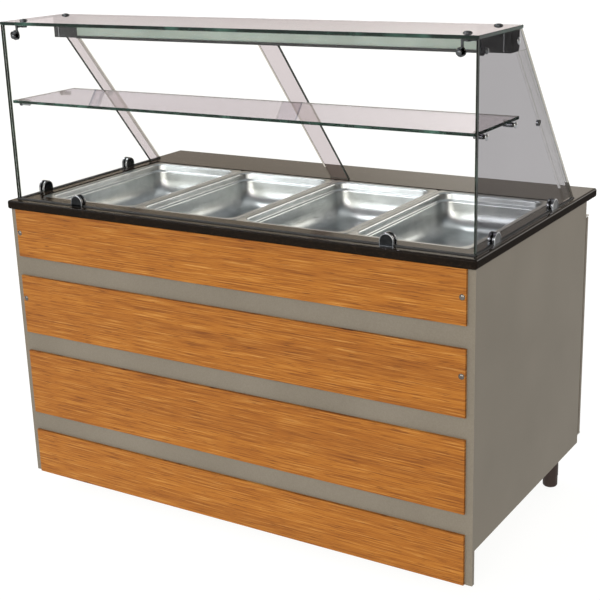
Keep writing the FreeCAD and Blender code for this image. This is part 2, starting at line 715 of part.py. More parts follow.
def fittings():
    """Chrome pieces that hold the panes: clamps, corner fittings, shelf pins."""
    cheeks = []
    front_x = (minus("clamp_front_offset"), "clamp_front_offset")
    fin_front = f"({REAR} - glass_rear_margin - fin_width)"
    side_y = (f"{FRONT} + clamp_side_front", f"{fin_front} - clamp_side_rear")
    for x in front_x:
        for y in (f"{PANE_FACE} - clamp_cheek", PANE_BACK):
            disc = rod("clamp_disc", "clamp_radius", "clamp_cheek", (x, y, f"{TOP} + clamp_rise"), "y")
            leg = block("clamp_leg", (f"{x} - clamp_radius", f"{x} + clamp_radius"),
                        (y, f"{y} + clamp_cheek"),
                        (TOP, f"{TOP} + clamp_rise"))
            cheeks.append(clamp_cheek(disc, leg))
    for y in side_y:
        for x in (minus(PANE_OUT) + " - clamp_cheek", minus(PANE_IN), f"{PANE_IN} - clamp_cheek", PANE_OUT):
            disc = rod("clamp_disc", "clamp_radius", "clamp_cheek", (x, y, f"{TOP} + clamp_rise"), "x")
            leg = block("clamp_leg", (x, f"{x} + clamp_cheek"),
                        (f"{y} - clamp_radius", f"{y} + clamp_radius"),
                        (TOP, f"{TOP} + clamp_rise"))
            cheeks.append(clamp_cheek(disc, leg))
    keep(group("clamp_set", cheeks), "glass_clamps")

    pieces = []
    for i, (x, y) in enumerate(stud_places()):
        cap = dome("stud_cap", "dome_radius", "dome_height", (x, y, f"{PANE_TOP} + glass_thickness"))
        stud = rod("stud_shank", "stud_radius", "glass_thickness", (x, y, PANE_TOP))
        parts = [cap, stud]
        if i < 2:
            arm_z = f"({PANE_TOP} - hub_height / 2)"
            pad_z = f"({PANE_TOP} - pad_drop)"
            bend = "(pad_thickness + arm_radius / 2)"
            parts.append(rod("corner_hub", "hub_radius", "hub_height", (x, y, f"{PANE_TOP} - hub_height")))
            turn = f"({PANE_BACK} + {bend})"
            parts.append(rod("corner_arm", "arm_radius", f"({y}) - {turn}", (x, turn, arm_z), "y"))
            drop = "pad_drop - hub_height / 2"
            parts.append(rod("corner_stalk", "stalk_radius", drop, (x, turn, pad_z)))
            parts.append(rod("corner_pad", "pad_radius", "pad_thickness", (x, PANE_BACK, pad_z), "y"))
            wall, axis, out = (minus(PANE_IN), "x", "-x") if i == 0 else (PANE_IN, "-x", "x")
            turn = f"({wall} + {bend})" if i == 0 else f"({wall} - {bend})"
            parts.append(rod("corner_side_arm", "arm_radius", f"{PANE_IN} - {bend} - {PANE_OUT} + corner_inset",
                             (x, y, arm_z), out))
            parts.append(rod("corner_side_stalk", "stalk_radius", drop, (turn, y, pad_z)))
            parts.append(rod("corner_side_pad", "pad_radius", "pad_thickness", (wall, y, pad_z), axis))
        pieces.append(join(f"top_fitting_{i}", parts))
    keep(group("top_fitting_set", pieces), "top_fittings")

    pins = []
    for y in pin_places():
        height = f"{SHELF_UNDER} - pin_radius - rest_gap"
        for out, side, way, back in ((minus(PANE_OUT), minus(PANE_IN), "x", "-x"),
                                     (PANE_OUT, PANE_IN, "-x", "x")):
            peg = rod("pin_peg", "pin_radius", "pin_reach", (side, y, height), way)
            shank = rod("pin_shank", "stud_radius", "glass_thickness", (out, y, height), way)
            cap = dome("pin_cap", "pin_cap_radius", "pin_cap_height", (out, y, height), back)
            pins.append(join("shelf_pin", [peg, shank, cap]))
    keep(group("shelf_pin_set", pins), "shelf_pins")


def clamp_cheek(disc, leg):
    """A half-round cheek: a disc on a leg, cut off at the worktop."""
    bottom = block("clamp_trim", span(HALF), (FRONT, REAR), (UNDER, TOP))
    return cut("clamp_cheek", join("clamp_shape", [disc, leg]), [bottom])


def lamp():
    """Light under the rear of the top pane: channel, light strip, tube and dark end boxes."""
    def profile(name, x):
        box = block(name, x, (LAMP_FRONT, TOP_REAR), (LAMP_UNDER, PANE_TOP))
        return eased(name + "_soft", box, "lamp_round", lower_rear)

    def lower_rear(shape):
        return set(bottoms(shape)) & set(backs(shape))

    hollow = block("lamp_hollow", span(f"{LAMP_HALF} + {OVERRUN}"),
                   (f"{LAMP_FRONT} - {OVERRUN}", f"{TOP_REAR} - lamp_wall"),
                   (f"{LAMP_UNDER} + lamp_wall", f"{PANE_TOP} - lamp_wall"))
    soft_hollow = eased("lamp_soft_hollow", hollow, "lamp_round", lower_rear)
    keep(cut("lamp_cut", profile("lamp_channel", span(LAMP_HALF)), [soft_hollow]), "lamp_housing")
    sides = ((minus(LAMP_END), minus(LAMP_HALF)), (LAMP_HALF, LAMP_END))
    keep(group("lamp_end_set", [profile("lamp_end", side) for side in sides]), "lamp_end_boxes")
    strip = (f"{LAMP_FRONT} + diffuser_setback", f"{LAMP_FRONT} + diffuser_setback + diffuser_thickness")
    keep(block("lamp_strip", span(LAMP_HALF), strip,
               (f"{LAMP_UNDER} + lamp_wall", f"{PANE_TOP} - lamp_wall")), "lamp_diffuser")
    keep(rod("lamp_light", "tube_radius", f"2 * {LAMP_HALF}",
             (minus(LAMP_HALF), f"{LAMP_FRONT} + lamp_depth / 2", f"{LAMP_UNDER} + lamp_height / 2"), "x"),
             "lamp_tube")


def gates():
    """The three openings of the rear frame: machine bay, left door, right door."""
    return ((f"-{INSIDE} + frame_post", f"{SPLIT} - frame_post"),
            (f"{SPLIT} + frame_post", f"{MIDDLE} - mullion_width / 2"),
            (f"{MIDDLE} + mullion_width / 2", f"{INSIDE} - frame_post"))


def rear_frame():
    board = block("frame_board", span(INSIDE), (f"{BACK} - frame_depth", BACK), (BASE_TOP, UNDER))
    holes = [block("frame_gate", gate, (f"{BACK} - frame_depth - {OVERRUN}", f"{BACK} + {OVERRUN}"),
                   (GATE_LOW, GATE_HIGH))
             for gate in gates()]
    keep(cut("frame_cut", board, holes), "rear_frame")
    keep(block("partition_board", (f"{SPLIT} - partition_thickness", SPLIT),
               (FACE_BACK, f"{BACK} - frame_depth"),
               (BASE_TOP, FOAM_FLOOR)), "bay_partition")


def doors():
    """Two overlay doors: a bevelled panel with an insulated plug and a gasket, on pins in brackets."""
    spans = ((f"{SPLIT} + door_gap / 2", f"{MIDDLE} - door_gap / 2"),
             (f"{MIDDLE} + door_gap / 2", DOOR_SIDE))
    brackets = []
    for label, (low, high), gate, hinge_side in zip(("left_door", "right_door"), spans, gates()[1:],
                                                    (0, 1)):
        hinge = f"({low} + hinge_inset)" if hinge_side == 0 else f"({high} - hinge_inset)"
        free = f"({high} - grip_margin - grip_width)" if hinge_side == 0 else f"({low} + grip_margin)"
        board = block(label + "_board", (low, high), (DOOR_IN, DOOR_OUT), (DOOR_LOW, DOOR_HIGH))
        bevel = eased(label + "_bevel", board, "door_chamfer", backs, "Part::Chamfer")
        centre = f"(({DOOR_LOW} + {DOOR_HIGH}) / 2)"
        grip = block(label + "_grip", (free, f"{free} + grip_width"),
                     (f"{DOOR_OUT} - grip_depth", f"{DOOR_OUT} + {OVERRUN}"),
                     (f"{centre} - grip_height / 2", f"{centre} + grip_height / 2"))
        bores = [grip]
        for end, axis in ((DOOR_LOW, "z"), (DOOR_HIGH, "-z")):
            bores.append(rod(label + "_bore", "hinge_pin_radius + running_clearance",
                             "hinge_pin_length + bracket_gap",
                             (hinge, HINGE_Y, end), axis))
        keep(cut(label + "_cut", bevel, bores), label + "_panel")

        inner = [(f"{gate[0]} + plug_clearance", f"{gate[1]} - plug_clearance"),
                 (f"{GATE_LOW} + plug_clearance", f"{GATE_HIGH} - plug_clearance")]
        keep(block(label + "_core", inner[0], (f"{BACK} - plug_depth", DOOR_IN), inner[1]), label + "_plug")
        rings = []
        for name, reach, over in (("outer", "gasket_clearance + gasket_width", "0"),
                                  ("inner", "gasket_clearance", OVERRUN)):
            limits = [(f"{a} - ({reach})", f"{b} + {reach}") for a, b in inner]
            rings.append(block(f"{label}_{name}_ring", limits[0],
                               (f"{BACK} + rest_gap - {over}", f"{DOOR_IN} + {over}"), limits[1]))
        keep(cut(label + "_seal", rings[0], [rings[1]]), label + "_gasket")

        for end, plate, axis in ((DOOR_LOW,
                                  (f"{DOOR_LOW} - bracket_gap - bracket_thickness",
                                   f"{DOOR_LOW} - bracket_gap"), "z"),
                                 (DOOR_HIGH,
                                  (f"{DOOR_HIGH} + bracket_gap",
                                   f"{DOOR_HIGH} + bracket_gap + bracket_thickness"), "-z")):
            arm = block("hinge_arm", (f"{hinge} - bracket_half_width", f"{hinge} + bracket_half_width"),
                        (BACK, f"{HINGE_Y} + door_thickness / 2"), plate)
            start = plate[1] if axis == "z" else plate[0]
            pin = rod("hinge_pin", "hinge_pin_radius", "hinge_pin_length", (hinge, HINGE_Y, start), axis)
            brackets.append(join("hinge_bracket", [arm, pin]))
    keep(group("hinge_bracket_set", brackets), "hinge_brackets")


CONTROL_X = f"((-{DOOR_SIDE} + {SPLIT} - door_gap / 2) / 2)"
CONTROL_Z = f"({DOOR_HIGH} - control_drop)"
CONTROL_FACE = f"({DOOR_OUT} + control_thickness)"


def machine_panel():
    """Louvred cover of the machine bay, folded from sheet, with the control plate and its switches."""
    low, high = minus(DOOR_SIDE), f"({SPLIT} - door_gap / 2)"
    board = block("cover_board", (low, high), (BACK, DOOR_OUT), (DOOR_LOW, DOOR_HIGH))
    bevel = eased("cover_bevel", board, "door_chamfer", backs, "Part::Chamfer")
    hollow = block("cover_hollow", (f"{low} + panel_lip", f"{high} - panel_lip"),
                   (f"{BACK} - {OVERRUN}", f"{DOOR_OUT} - panel_sheet"),
                   (f"{DOOR_LOW} + panel_lip", f"{DOOR_HIGH} - panel_lip"))
    through = (f"{DOOR_OUT} - panel_sheet - {OVERRUN}", f"{DOOR_OUT} + {OVERRUN}")
    window = block("cover_window", (f"{CONTROL_X} - control_width / 2 + control_overlap",
                                    f"{CONTROL_X} + control_width / 2 - control_overlap"),
                   through, (f"{CONTROL_Z} - control_height / 2 + control_overlap",
                             f"{CONTROL_Z} + control_height / 2 - control_overlap"))
    slots = []
    for i in range(LOUVRE_COUNT):
        bottom = f"{DOOR_LOW} + louvre_start + {i} * louvre_pitch"
        slots.append(block("cover_slot", (f"{low} + louvre_margin", f"{high} - louvre_margin"), through,
                           (bottom, f"{bottom} + louvre_height")))
    keep(cut("cover_cut", bevel, [hollow, window] + slots), "machine_panel")


def controls():
    plate = block("control_face", (f"{CONTROL_X} - control_width / 2", f"{CONTROL_X} + control_width / 2"),
                  (DOOR_OUT, CONTROL_FACE),
                  (f"{CONTROL_Z} - control_height / 2", f"{CONTROL_Z} + control_height / 2"))
    inset = "control_overlap + seat_clearance"
    housing = block("control_housing", (f"{CONTROL_X} - control_width / 2 + {inset}",
                                        f"{CONTROL_X} + control_width / 2 - ({inset})"),
                    (f"{DOOR_OUT} - control_block_depth", DOOR_OUT),
                    (f"{CONTROL_Z} - control_height / 2 + {inset}",
                     f"{CONTROL_Z} + control_height / 2 - ({inset})"))
    holes = []
    for i, label in enumerate(("up_button", "down_button")):
        x = f"({CONTROL_X} - button_offset - {i} * button_spacing)"
        holes.append(rod(label + "_bore", "button_radius + running_clearance",
                         f"button_length - button_proud + 2 * button_travel + {OVERRUN}",
                         (x, f"{CONTROL_FACE} + {OVERRUN}", CONTROL_Z), "-y"))
        cap = rod(label + "_cap", "button_radius", "button_length",
                  (x, f"{CONTROL_FACE} + button_proud - button_length", CONTROL_Z), "y")
        keep(cap, label)
    pivot = f"({CONTROL_FACE} - rocker_pivot_depth)"
    for i, label in enumerate(("power_rocker", "light_rocker")):
        x = f"({CONTROL_X} + rocker_offset + {i} * rocker_spacing)"
        gap = "rocker_clearance"
        holes.append(block(label + "_well",
                           (f"{x} - rocker_width / 2 - {gap}", f"{x} + rocker_width / 2 + {gap}"),
                           (f"{CONTROL_FACE} - rocker_depth - rocker_room", f"{CONTROL_FACE} + {OVERRUN}"),
                           (f"{CONTROL_Z} - rocker_length / 2 - {gap}",
                            f"{CONTROL_Z} + rocker_length / 2 + {gap}")))
        reach = f"(rocker_width / 2 + {gap} + rocker_pin_length)"
        holes.append(rod(label + "_socket", "rocker_pin_radius + running_clearance", f"2 * {reach}",
                         (f"{x} - {reach}", pivot, CONTROL_Z), "x"))
        key = block(label + "_key", (f"{x} - rocker_width / 2", f"{x} + rocker_width / 2"),
                    (f"{CONTROL_FACE} - rocker_depth", f"{CONTROL_FACE} + rocker_proud"),
                    (f"{CONTROL_Z} - rocker_length / 2 + {gap}",
                     f"{CONTROL_Z} + rocker_length / 2 - {gap}"))
        soft = eased(label + "_soft", key, "rocker_round", lambda shape: edges_along(shape, "X"))
        pin = rod(label + "_pin", "rocker_pin_radius", f"2 * {reach} - 2 * {gap}",
                  (f"{x} - {reach} + {gap}", pivot, CONTROL_Z), "x")
        keep(join(label + "_shape", [soft, pin]), label)
    keep(cut("control_cut", join("control_shape", [plate, housing]), holes), "control_plate")


def feet():
    """Four sleeves under the base, each with a screw foot that can be let down."""
    edge = f"({CABINET} - foot_inset_side)"
    rows = {"front": (f"({edge} - foot_front_setback)", f"{FACE} + foot_inset_front"),
            "rear": (edge, f"{BACK} - foot_inset_rear")}
    sleeves = []
    for row, (side, y) in rows.items():
        for name, x in (("left", minus(side)), ("right", side)):
            label = f"foot_{row}_{name}"
            tube = rod(label + "_tube", "sleeve_radius", f"{FLOOR} - foot_height - rest_gap",
                       (x, y, "foot_height + rest_gap"))
            bore = rod(label + "_bore", "stem_radius + running_clearance", f"{FLOOR}", (x, y, "0"))
            sleeves.append(cut(label + "_sleeve", tube, [bore]))
            pad = rod(label + "_pad", "foot_radius", "foot_height", (x, y, "0"))
            soft = eased(label + "_soft", pad, "foot_round", bottoms)
            stem = rod(label + "_stem", "stem_radius", "stem_length", (x, y, "foot_height"))
            keep(join(label + "_shape", [soft, stem]), label)
    keep(group("sleeve_set", sleeves), "leg_sleeves")


def reserve_shelf():
    """Folded steel shelf in the reserve, on four legs of its own."""
    x = (f"{SPLIT} + tray_margin", f"{INSIDE} - tray_margin")
    y = (f"{FACE_BACK} + tray_front_gap", f"{BACK} - frame_depth - tray_rear_gap")
    z = f"({BASE_TOP} + tray_rise)"
    plate = block("tray_plate", x, y, (z, f"{z} + shelf_tray_height"))
    hollow = block("tray_hollow", (f"{x[0]} + tray_sheet", f"{x[1]} - tray_sheet"),
                   (f"{y[0]} + tray_sheet", f"{y[1]} - tray_sheet"),
                   (f"{z} - {OVERRUN}", f"{z} + shelf_tray_height - tray_sheet"))
    shell = cut("tray_shell", plate, [hollow])
    legs = []
    for left in ((x[0], f"{x[0]} + tray_leg"), (f"{x[1]} - tray_leg", x[1])):
        for near in ((y[0], f"{y[0]} + tray_sheet"), (f"{y[1]} - tray_sheet", y[1])):
            legs.append(block("tray_foot", left, near, (BASE_TOP, f"{z} + tray_sheet")))
    keep(join("tray_shape", [shell] + legs), "reserve_shelf")


BAY_X = f"((-{INSIDE} + {SPLIT} - partition_thickness) / 2)"
CONDENSER_BACK = f"({BACK} - frame_depth - condenser_gap)"
CONDENSER_FRONT = f"({CONDENSER_BACK} - condenser_depth)"
FAN_BACK = f"({CONDENSER_FRONT} - fan_gap)"
FAN_FRONT = f"({FAN_BACK} - fan_frame_depth)"
FAN_Z = f"({BASE_TOP} + fan_frame_size / 2)"
FAN_RING = "(fan_frame_size / 2 - fan_frame_rim)"


def condenser():
    """Finned block behind the louvres: end plates, fins and the tubes that cross them."""
    y = (CONDENSER_FRONT, CONDENSER_BACK)
    z = (BASE_TOP, f"{BASE_TOP} + condenser_height")
    left = f"({BAY_X} - condenser_width / 2)"
    pieces = [block("condenser_end", (left, f"{left} + condenser_plate"), y, z),
              block("condenser_end", (f"{left} + condenser_width - condenser_plate",
                                      f"{left} + condenser_width"), y, z)]
    step = f"(condenser_width / {FIN_COUNT + 1})"
    for i in range(1, FIN_COUNT + 1):
        pieces.append(block("condenser_fin",
                            (f"{left} + {i} * {step}", f"{left} + {i} * {step} + fin_thickness"), y, z))
    for i in range(CONDENSER_TUBES):
        height = f"{BASE_TOP} + condenser_height * {i + 1} / {CONDENSER_TUBES + 1}"
        pieces.append(rod("condenser_tube", "condenser_tube_radius", "condenser_width",
                          (left, f"{CONDENSER_FRONT} + condenser_depth / 2", height), "x"))
    keep(join("condenser_shape", pieces), "condenser")


def fan():
    """Square fan frame with the motor on four arms, and the rotor that turns in it."""
    half = "fan_frame_size / 2"
    board = block("fan_board", (f"{BAY_X} - {half}", f"{BAY_X} + {half}"), (FAN_FRONT, FAN_BACK),
                  (BASE_TOP, f"{FAN_Z} + {half}"))
    ring = rod("fan_ring", FAN_RING, f"fan_frame_depth + 2 * {OVERRUN}",
               (BAY_X, f"{FAN_FRONT} - {OVERRUN}", FAN_Z), "y")
    shell = cut("fan_shell", board, [ring])
    motor_back = f"({FAN_FRONT} - blade_thickness)"
    motor = rod("fan_motor", "motor_radius", "motor_length",
                (BAY_X, f"{motor_back} - motor_length", FAN_Z), "y")
    arm_y = (f"{FAN_FRONT} - motor_arm_width", FAN_FRONT)
    arms = [block("fan_arm", (f"{BAY_X} - {half}", f"{BAY_X} + {half}"), arm_y,
                  (f"{FAN_Z} - motor_arm_width / 2", f"{FAN_Z} + motor_arm_width / 2")),
            block("fan_arm", (f"{BAY_X} - motor_arm_width / 2", f"{BAY_X} + motor_arm_width / 2"), arm_y,
                  (f"{FAN_Z} - {half}", f"{FAN_Z} + {half}"))]
    clear = rod("fan_clear", FAN_RING, f"blade_thickness + {OVERRUN}", (BAY_X, motor_back, FAN_Z),
                "y")
    bore = rod("fan_bore", "motor_shaft_radius + running_clearance", f"motor_length / 2 + {OVERRUN}",
               (BAY_X, f"{motor_back} - motor_length / 2", FAN_Z), "y")
    keep(cut("fan_cut", join("fan_shape", [shell, motor] + arms), [clear, bore]), "fan_frame")

    hub_front = f"({FAN_FRONT} + blade_thickness)"
    hub = rod("rotor_hub", "fan_hub_radius", "blade_depth", (BAY_X, hub_front, FAN_Z), "y")
    shaft = rod("rotor_shaft", "motor_shaft_radius", "motor_length / 2",
                (BAY_X, f"{hub_front} - motor_length / 2", FAN_Z), "y")
    blades = [rotor_blade(i, f"{hub_front} + blade_depth / 2") for i in range(BLADE_COUNT)]
    keep(join("rotor_shape", [hub, shaft] + blades), "fan_rotor")


def rotor_blade(index, middle):
    """A flat blade, set at its pitch and turned to its place round the hub."""
    half = ("blade_chord / 2", "blade_thickness / 2")
    corners = [(sx + half[0], sy + half[1]) for sx, sy in (("-", "-"), ("", "-"), ("", ""), ("-", ""))]
    root = "fan_hub_radius - blade_thickness"
    blade = slab(f"rotor_blade_{index}", "XY_Plane", corners, root,
                 f"{FAN_RING} - fan_tip_gap - ({root})")
    turn = FreeCAD.Rotation(FreeCAD.Vector(0, 1, 0), 360 * index / BLADE_COUNT)
    pitch = FreeCAD.Rotation(FreeCAD.Vector(0, 0, 1), BLADE_PITCH_DEGREES)
    blade.Placement.Rotation = turn * pitch
    return place(blade, BAY_X, middle, FAN_Z)


COMPRESSOR_Y = f"({BACK} - compressor_setback)"


def compressor():
    """Hermetic pot on a foot plate."""
    pot = turned("compressor_pot", [("0", "compressor_foot"), ("compressor_radius", "compressor_foot"),
                                    ("compressor_radius", "compressor_height"), ("0", "compressor_height")])
    soft = eased("compressor_soft", pot, "compressor_round", lambda shape: edges_at(shape, "Z", True))
    place(pot, BAY_X, COMPRESSOR_Y, BASE_TOP)
    reach = "(compressor_radius + compressor_skirt)"
    plate = block("compressor_plate", (f"{BAY_X} - {reach}", f"{BAY_X} + {reach}"),
                  (f"{COMPRESSOR_Y} - {reach}", f"{COMPRESSOR_Y} + {reach}"),
                  (BASE_TOP, f"{BASE_TOP} + compressor_foot"))
    keep(join("compressor_shape", [soft, plate]), "compressor")


def pipes():
    """Two copper lines from the pot up to the underside of the well."""
    pot_y = number(COMPRESSOR_Y)
    start = number(f"{BASE_TOP} + compressor_height")
    end = number(FOAM_FLOOR)
    middle = (start + end) / 2
    lines = []
    for way in (-1, 1):
        near = number(f"{BAY_X} + {way} * pipe_offset")
        far = number(f"{BAY_X} + {way} * (pipe_offset + pipe_run_length)")
        points = [(near, pot_y, start), (near, pot_y, middle), (far, pot_y, middle), (far, pot_y, end)]
        lines.append(bent_tube("pipe_line", points, size("pipe_bend"), size("pipe_radius")))
    keep(group("pipe_set", lines), "pipes")


for build in (worktop, cabinet, planks, well, coil, drain, pans, glass_guard, fittings, lamp, rear_frame,
              doors,
              machine_panel, controls, feet, reserve_shelf, condenser, fan, compressor, pipes):
    build()
doc.recompute()

for thing in doc.Objects:
    if "Invalid" in thing.State or "Error" in thing.State:
        raise RuntimeError(f"{thing.Label} failed: {thing.State}")
for node in nodes:
    if node.Shape.isNull() or not node.Shape.isValid():
        raise RuntimeError(f"{node.Label} has no valid shape")

os.makedirs("parts", exist_ok=True)
for node in nodes:
    node.Shape.exportStep(f"parts/{node.Label}.step")
print(len(nodes), "sub-parts written")
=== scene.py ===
import math

import bmesh
import bpy
from mathutils import Matrix, Vector


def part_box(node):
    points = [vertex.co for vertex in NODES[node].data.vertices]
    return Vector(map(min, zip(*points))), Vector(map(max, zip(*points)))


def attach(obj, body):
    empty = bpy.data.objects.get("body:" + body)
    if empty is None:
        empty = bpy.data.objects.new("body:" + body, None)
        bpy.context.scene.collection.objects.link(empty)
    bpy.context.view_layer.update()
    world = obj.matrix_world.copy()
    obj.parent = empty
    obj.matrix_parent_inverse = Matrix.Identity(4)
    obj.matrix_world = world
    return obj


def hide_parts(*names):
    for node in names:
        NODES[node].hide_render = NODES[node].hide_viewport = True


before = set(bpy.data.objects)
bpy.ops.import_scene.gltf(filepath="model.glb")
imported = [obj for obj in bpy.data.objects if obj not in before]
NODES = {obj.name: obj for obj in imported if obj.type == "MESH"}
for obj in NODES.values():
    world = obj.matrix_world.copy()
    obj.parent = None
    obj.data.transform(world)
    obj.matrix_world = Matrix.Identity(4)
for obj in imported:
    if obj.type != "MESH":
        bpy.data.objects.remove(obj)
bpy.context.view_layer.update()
MM = 0.001


# Finishes: helpers

# Sockets of a colour mix, which are only told apart by number.
MIX_SHARE, MIX_UNDER, MIX_OVER, MIX_RESULT = 0, 6, 7, 2


def linear(hex_value):
    """Linear colour of an sRGB hex value."""
    shares = [int(hex_value[i:i + 2], 16) / 255 for i in (1, 3, 5)]
    return [s / 12.92 if s <= 0.04045 else ((s + 0.055) / 1.055) ** 2.4 for s in shares] + [1.0]


def per_metre(*sizes_mm):
    """Texture scale, in cells per metre, of a pattern with cells of this size in millimetres.
    Three sizes give the scale along X, Y and Z."""
    scales = [1 / (size * MM) for size in sizes_mm]
    return scales if len(scales) > 1 else scales[0]


def add(material, kind, inputs=(), stops=(), **settings):
    """Adds one shader node. Inputs are values, or nodes and sockets to link from; stops are a
    ramp's colours and their places."""
    tree = material.node_tree
    made = tree.nodes.new("ShaderNode" + kind)
    for name, value in settings.items():
        setattr(made, name, value)
    for name, value in dict(inputs).items():
        if isinstance(value, bpy.types.Node):
            tree.links.new(value.outputs[0], made.inputs[name])
        elif isinstance(value, bpy.types.NodeSocket):
            tree.links.new(value, made.inputs[name])
        else:
            made.inputs[name].default_value = value
    for i, (position, colour) in enumerate(stops):
        ramp = made.color_ramp.elements
        stop = ramp[i] if i < len(ramp) else ramp.new(position)
        stop.position = position
        stop.color = linear(colour)
    return made


def blank(name):
    """Empty material, and the socket that gives a point's place on the counter in metres."""
    made = bpy.data.materials.new(name)
    made.use_nodes = True
    made.node_tree.nodes.clear()
    return made, add(made, "TexCoord").outputs["Object"]


def surface(material, values):
    """Ends a material: its values and links go on the shader's own sockets."""
    shader = add(material, "BsdfPrincipled", values)
    add(material, "OutputMaterial", {"Surface": shader})
    return material


# Finishes: one for each real material, and darker or paler copies that hold painted light, shade or
# reflection

def polished_black_stone():
    # Engineered stone, polished on top and only ground on its edges: deep brown-black with a fine
    # grit, a mirror at a low angle on the top, and matt black sides. The real grit is under 1 mm;
    # it is drawn at 4 mm to show at all.
    stone, place = blank("polished_black_stone")
    grit = add(stone, "TexNoise", {"Vector": place, "Scale": per_metre(4), "Detail": 5.0})
    wiped = add(stone, "TexNoise", {"Vector": place, "Scale": per_metre(160), "Detail": 3.0})
    colour = add(stone, "ValToRGB", {"Fac": grit},
                 stops=[(0.30, "#100c08"), (0.55, "#17110c"), (0.75, "#2a2017")])
    shine = add(stone, "MapRange", {"Value": wiped, "To Min": 0.12, "To Max": 0.20})
    normal = add(stone, "NewGeometry").outputs["Normal"]
    upward = add(stone, "SeparateXYZ", {"Vector": normal}).outputs["Z"]
    gloss = add(stone, "MapRange", {"Value": upward, "From Min": 0.15, "From Max": 0.5,
                                    "To Min": 0.95, "To Max": shine})
    relief = add(stone, "Bump", {"Height": grit, "Strength": 0.03, "Distance": 0.1 * MM})
    return surface(stone, {"Base Color": colour, "Roughness": gloss, "IOR": 1.19, "Normal": relief})


def grey_melamine():
    # Melamine-faced board, pressed against a fine matt plate: even warm grey with a faint
    # cloud and a grain that only softens the highlight. The plate's 0.5 mm grain is drawn at 3 mm.
    board, place = blank("grey_melamine_board")
    cloud = add(board, "TexNoise", {"Vector": place, "Scale": per_metre(260), "Detail": 2.0})
    grain = add(board, "TexNoise", {"Vector": place, "Scale": per_metre(3), "Detail": 3.0})
    both = add(board, "Math", {0: cloud, 1: grain}, operation="ADD")
    mean = add(board, "Math", {0: both, 1: 0.5}, operation="MULTIPLY")
    colour = add(board, "ValToRGB", {"Fac": mean},
                 stops=[(0.30, "#6b6458"), (0.50, "#726b5f"), (0.70, "#797266")])
    gloss = add(board, "MapRange", {"Value": grain, "To Min": 0.48, "To Max": 0.62})
    relief = add(board, "Bump", {"Height": grain, "Strength": 0.12, "Distance": 0.1 * MM})
    return surface(board, {"Base Color": colour, "Roughness": gloss, "IOR": 1.3, "Normal": relief})


def lacquered_bamboo():
    # Bamboo strands pressed into a board, sanded and lacquered: honey brown, with broken fibres
    # that run along the plank, over strips of about 22 mm that differ a little in tone. Fibres and
    # pores are about 1 mm wide; they are drawn at 3 mm and 2.4 mm to show.
    wood, place = blank("lacquered_pressed_bamboo")
    along = add(wood, "Mapping", {"Vector": place, "Scale": per_metre(150, 40, 3)})
    fibres = add(wood, "TexNoise", {"Vector": along, "Scale": 1.0, "Detail": 4.0,
                                    "Roughness": 0.6, "Distortion": 0.1})
    strips = add(wood, "Mapping", {"Vector": place, "Scale": per_metre(900, 60, 22)})
    bands = add(wood, "TexNoise", {"Vector": strips, "Scale": 1.0, "Detail": 2.0})
    pores = add(wood, "Mapping", {"Vector": place, "Scale": per_metre(60, 40, 2.4)})
    flecks = add(wood, "TexNoise", {"Vector": pores, "Scale": 1.0, "Detail": 3.0,
                                    "Roughness": 0.55})
    ground = add(wood, "ValToRGB", {"Fac": fibres},
                 stops=[(0.32, "#743f0b"), (0.47, "#985c17"), (0.58, "#a46922"), (0.70, "#be8a47")])
    tone = add(wood, "ValToRGB", {"Fac": bands},
               stops=[(0.3, "#e6dfd7"), (0.7, "#ffffff")])
    toned = add(wood, "Mix", {MIX_SHARE: 1.0, MIX_UNDER: ground, MIX_OVER: tone},
                data_type="RGBA", blend_type="MULTIPLY").outputs[MIX_RESULT]
    mark = add(wood, "ValToRGB", {"Fac": flecks},
               stops=[(0.30, "#9b8468"), (0.42, "#ffffff")])
    colour = add(wood, "Mix", {MIX_SHARE: 1.0, MIX_UNDER: toned, MIX_OVER: mark},
                 data_type="RGBA", blend_type="MULTIPLY").outputs[MIX_RESULT]
    gloss = add(wood, "MapRange", {"Value": fibres, "To Min": 0.52, "To Max": 0.40})
    relief = add(wood, "Bump", {"Height": fibres, "Strength": 0.25, "Distance": 0.15 * MM})
    return surface(wood, {"Base Color": colour, "Roughness": gloss, "IOR": 1.45, "Normal": relief,
                          "Specular IOR Level": 0.25})


def drawn_stainless():
    # Stainless sheet, deep drawn and satin polished: a soft mirror that is a little wavy from the
    # press, over about 90 mm, with wipe marks of about 35 mm that blur it in patches.
    steel, place = blank("drawn_polished_stainless")
    wave = add(steel, "TexNoise", {"Vector": place, "Scale": per_metre(90), "Detail": 0.0})
    wiped = add(steel, "TexNoise", {"Vector": place, "Scale": per_metre(35), "Detail": 4.0})
    colour = add(steel, "ValToRGB", {"Fac": wiped}, stops=[(0.3, "#adb1b1"), (0.7, "#bdc1c1")])
    gloss = add(steel, "MapRange", {"Value": wiped, "To Min": 0.275, "To Max": 0.30})
    relief = add(steel, "Bump", {"Height": wave, "Strength": 0.5, "Distance": 4 * MM})
    return surface(steel, {"Base Color": colour, "Metallic": 1.0, "Roughness": gloss,
                           "Normal": relief})


def brushed_stainless():
    # Stainless sheet, belt brushed along the counter: a blurred mirror drawn out across the
    # brushing. The 0.1 mm scratches are drawn 2 mm wide to show.
    steel, place = blank("brushed_stainless_sheet")
    along = add(steel, "Mapping", {"Vector": place, "Scale": per_metre(90, 2, 2)})
    scratch = add(steel, "TexNoise", {"Vector": along, "Scale": 1.0, "Detail": 4.0})
    colour = add(steel, "ValToRGB", {"Fac": scratch}, stops=[(0.3, "#b4b3ae"), (0.7, "#cac9c4")])
    gloss = add(steel, "MapRange", {"Value": scratch, "To Min": 0.26, "To Max": 0.42})
    relief = add(steel, "Bump", {"Height": scratch, "Strength": 0.15, "Distance": 0.1 * MM})
    return surface(steel, {"Base Color": colour, "Metallic": 1.0, "Roughness": gloss,
                           "Normal": relief})


